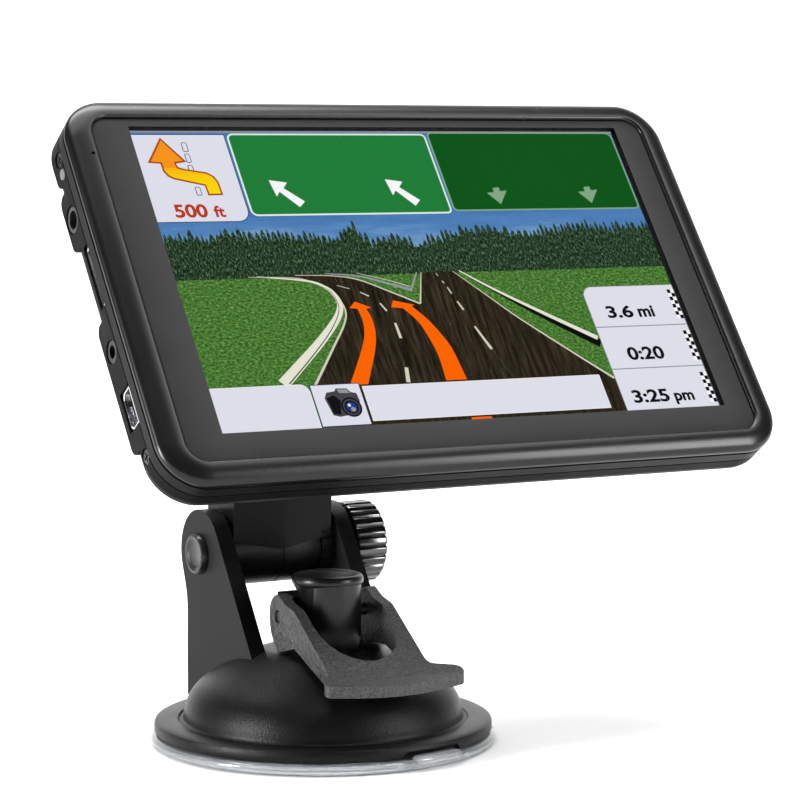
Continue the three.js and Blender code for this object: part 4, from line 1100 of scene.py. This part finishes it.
def tilting_neck():
    half, front, brow, back, rise, foot = 10.5, -7.2, -7.9, 4.9, 13.5, 0.9
    barrel_end, washer = ARM["inner"] - 0.4, 2.4
    side = [
        (front, foot), (brow, rise),
        upright(TONGUE["low"] + 2, TONGUE["plate"]), upright(TONGUE["high"] - 1, TONGUE["plate"]),
        (back + 0.2, rise + 6), (back, rise), (back, foot - 2), (0, foot - 3),
    ]
    bm = slab(side, -half, half)
    bmesh.ops.transform(bm, matrix=ALONG_X, verts=bm.verts)
    forward = math.atan2(front - brow, rise - foot)
    for way in (-1, 1):
        facet = slab(
            [(0, front - 0.01), (way * 11.5, front + 1.3), (way * 11.5, brow - 1), (0, brow - 1)], -1,
            rise - 0.5,
        )
        bmesh.ops.rotate(facet, cent=(0, 0, 0), matrix=Matrix.Rotation(forward, 3, "X"), verts=facet.verts)
        bm = combined(bm, facet, "DIFFERENCE")
        under = slab(
            [(0, foot - 0.01), (way * 11.5, foot + 2.0), (way * 11.5, foot - 5), (0, foot - 5)], front - 2,
            -1,
        )
        bmesh.ops.transform(
            under, matrix=Matrix(((1, 0, 0), (0, 0, 1), (0, 1, 0))).to_4x4(), verts=under.verts,
        )
        bmesh.ops.recalc_face_normals(under, faces=under.faces)
        bm = combined(bm, under, "DIFFERENCE")
    end = barrel_end - washer - 0.3
    groove = [(6.5, -0.3), (6.32, -0.12), (6.32, 0.12), (6.5, 0.3)]
    barrel = turned(
        [
            (0, -barrel_end), (6.0, -barrel_end), (6.5, -barrel_end + 0.5),
        ] + groove + [(6.5, end - 0.3), (6.3, end), (0, end)],
        96,
    )
    bmesh.ops.transform(barrel, matrix=ALONG_X, verts=barrel.verts)
    bm = combined(bm, barrel)
    for half_wide, w0, w1 in (
        (TONGUE["web"], TONGUE["web_back"], TONGUE["web_front"] + 0.5),
        (TONGUE["half"], TONGUE["web_front"], TONGUE["web_front"] + TONGUE["thickness"]),
    ):
        plate = block(-half_wide, half_wide, TONGUE["low"], TONGUE["high"], w0, w1)
        bmesh.ops.rotate(plate, cent=(0, 0, 0), matrix=Matrix.Rotation(LEAN, 3, "X"), verts=plate.verts)
        bm = combined(bm, plate)
    bore = turned([(0, -20), (BORE, -20), (BORE, 20), (0, 20)], 48)
    bmesh.ops.transform(bore, matrix=ALONG_X, verts=bore.verts)
    bm = combined(bm, bore, "DIFFERENCE")
    ring = turned([(0, end), (7.4, end), (7.4, 14), (0, 14)], 64)
    bmesh.ops.transform(ring, matrix=ALONG_X, verts=ring.verts)
    bm = combined(bm, ring, "DIFFERENCE")
    bmesh.ops.translate(bm, vec=(0, PIVOT.y, PIVOT.z), verts=bm.verts)
    return bm


piece(
    "tilt_neck", tilting_neck(), "neck", "neck_black", ["neck"], stands_for=["neck_head"], smooth=34,
    edge=0.3, edge_angle=36,
)
carried("tilt_washer", "toothed_washer", "neck", "washer_black", ["washer"], 0.1)

# ------------------------------------------------------------------ pieces that keep their CAD shape
INSIDE = {
    "lcd_module": "tin", "main_board": "board", "rf_shield": "tin", "battery": "foil", "speaker": "socket",
    "gps_antenna": "ceramic", "microphone": "tin", "power_switch": "tin", "lcd_ribbon": "film",
    "knob_nut": "steel",
}
for node, finish in INSIDE.items():
    shape = frame["nodes"][node]
    shape.data.materials.clear()
    shape.data.materials.append(FINISH[finish])

# ------------------------------------------------------------------ studio, in metres
CAMERA_TURN = 29.6  # degrees that the camera looks to the right of +Y
FLOOR_GAP = 0.0002


def floor_finish():
    finish, tree, shader = blank("studio_floor")
    where = tree.nodes.new("ShaderNodeTexCoord").outputs["Object"]
    cloud = noise(tree, where, 3.0)
    tree.links.new(
        shades(tree, cloud, [(0.90, 0.90, 0.90, 1), (0.92, 0.92, 0.92, 1)]), shader.inputs["Base Color"],
    )
    shader.inputs["Roughness"].default_value = 0.9
    shader.inputs["Specular IOR Level"].default_value = 0.1
    return finish


def backdrop():
    """A floor that runs up into a wall far behind, as one smooth sheet."""
    bm = bmesh.new()
    near, bend, radius, steps = -4.0, 1.6, 1.2, 24
    line = [(near, 0.0), (bend, 0.0)]
    for i in range(1, steps + 1):
        angle = math.pi / 2 * i / steps
        line.append((bend + radius * math.sin(angle), radius * (1 - math.cos(angle))))
    line += [(bend + radius, 4.0)]
    verts = [bm.verts.new((-6, y, z)) for y, z in line]
    edges = [bm.edges.new(pair) for pair in zip(verts, verts[1:])]
    grown = bmesh.ops.extrude_edge_only(bm, edges=edges)["geom"]
    bmesh.ops.translate(bm, vec=(12, 0, 0), verts=moved_verts(grown))
    bmesh.ops.recalc_face_normals(bm, faces=bm.faces)
    return bm


floor_mesh = bpy.data.meshes.new("studio_floor")
ground = backdrop()
ground.to_mesh(floor_mesh)
ground.free()
floor_mesh.shade_smooth()
floor_mesh.materials.append(floor_finish())
floor = bpy.data.objects.new("studio_floor", floor_mesh)
floor.location.z = cad_box[0][2] - FLOOR_GAP
floor.rotation_euler.z = -math.radians(CAMERA_TURN)
bpy.context.scene.collection.objects.link(floor)

world = bpy.data.worlds.new("studio")
bpy.context.scene.world = world
world.use_nodes = True
world.node_tree.nodes["Background"].inputs["Color"].default_value = (1, 1, 1, 1)
world.node_tree.nodes["Background"].inputs["Strength"].default_value = 0.12


def soft_light(name, spot, target, size_x, size_y, power):
    lamp = bpy.data.lights.new(name, "AREA")
    lamp.shape = "RECTANGLE"
    lamp.size = size_x
    lamp.size_y = size_y
    lamp.energy = power
    obj = bpy.data.objects.new(name, lamp)
    obj.location = spot
    obj.rotation_euler = (Vector(target) - Vector(spot)).to_track_quat("-Z", "Y").to_euler()
    bpy.context.scene.collection.objects.link(obj)


CENTRE = (Vector(cad_box[0]) + Vector(cad_box[1])) / 2
soft_light("key_light", CENTRE + Vector((-0.95, 0.04, 0.13)), CENTRE + Vector((0, 0, 0.02)), 0.2, 0.44, 15)
soft_light("front_light", CENTRE + Vector((0.52, -0.38, 0.86)), CENTRE, 0.42, 0.42, 3)
soft_light("side_light", CENTRE + Vector((0.75, -0.95, 0.28)), CENTRE, 0.25, 0.6, 10)
soft_light("top_light", CENTRE + Vector((0.0, 0.35, 2.4)), CENTRE + Vector((0, 0.35, 0)), 2.2, 2.0, 58)
soft_light("wall_light", (0.2, 0.9, 2.6), (0.9, 2.2, 0.2), 2.4, 1.0, 90)

camera_data = bpy.data.cameras.new("camera")
camera_data.lens = 126
camera_data.sensor_width = 36
camera_data.clip_start = 0.01
camera = bpy.data.objects.new("camera", camera_data)
camera.location = (-0.2436, -0.4587, 0.1118)
camera.rotation_euler = Vector((0.4913, 0.8661, -0.0918)).to_track_quat("-Z", "Y").to_euler()
bpy.context.scene.collection.objects.link(camera)
bpy.context.scene.camera = camera
bpy.context.scene.view_settings.view_transform = "Standard"
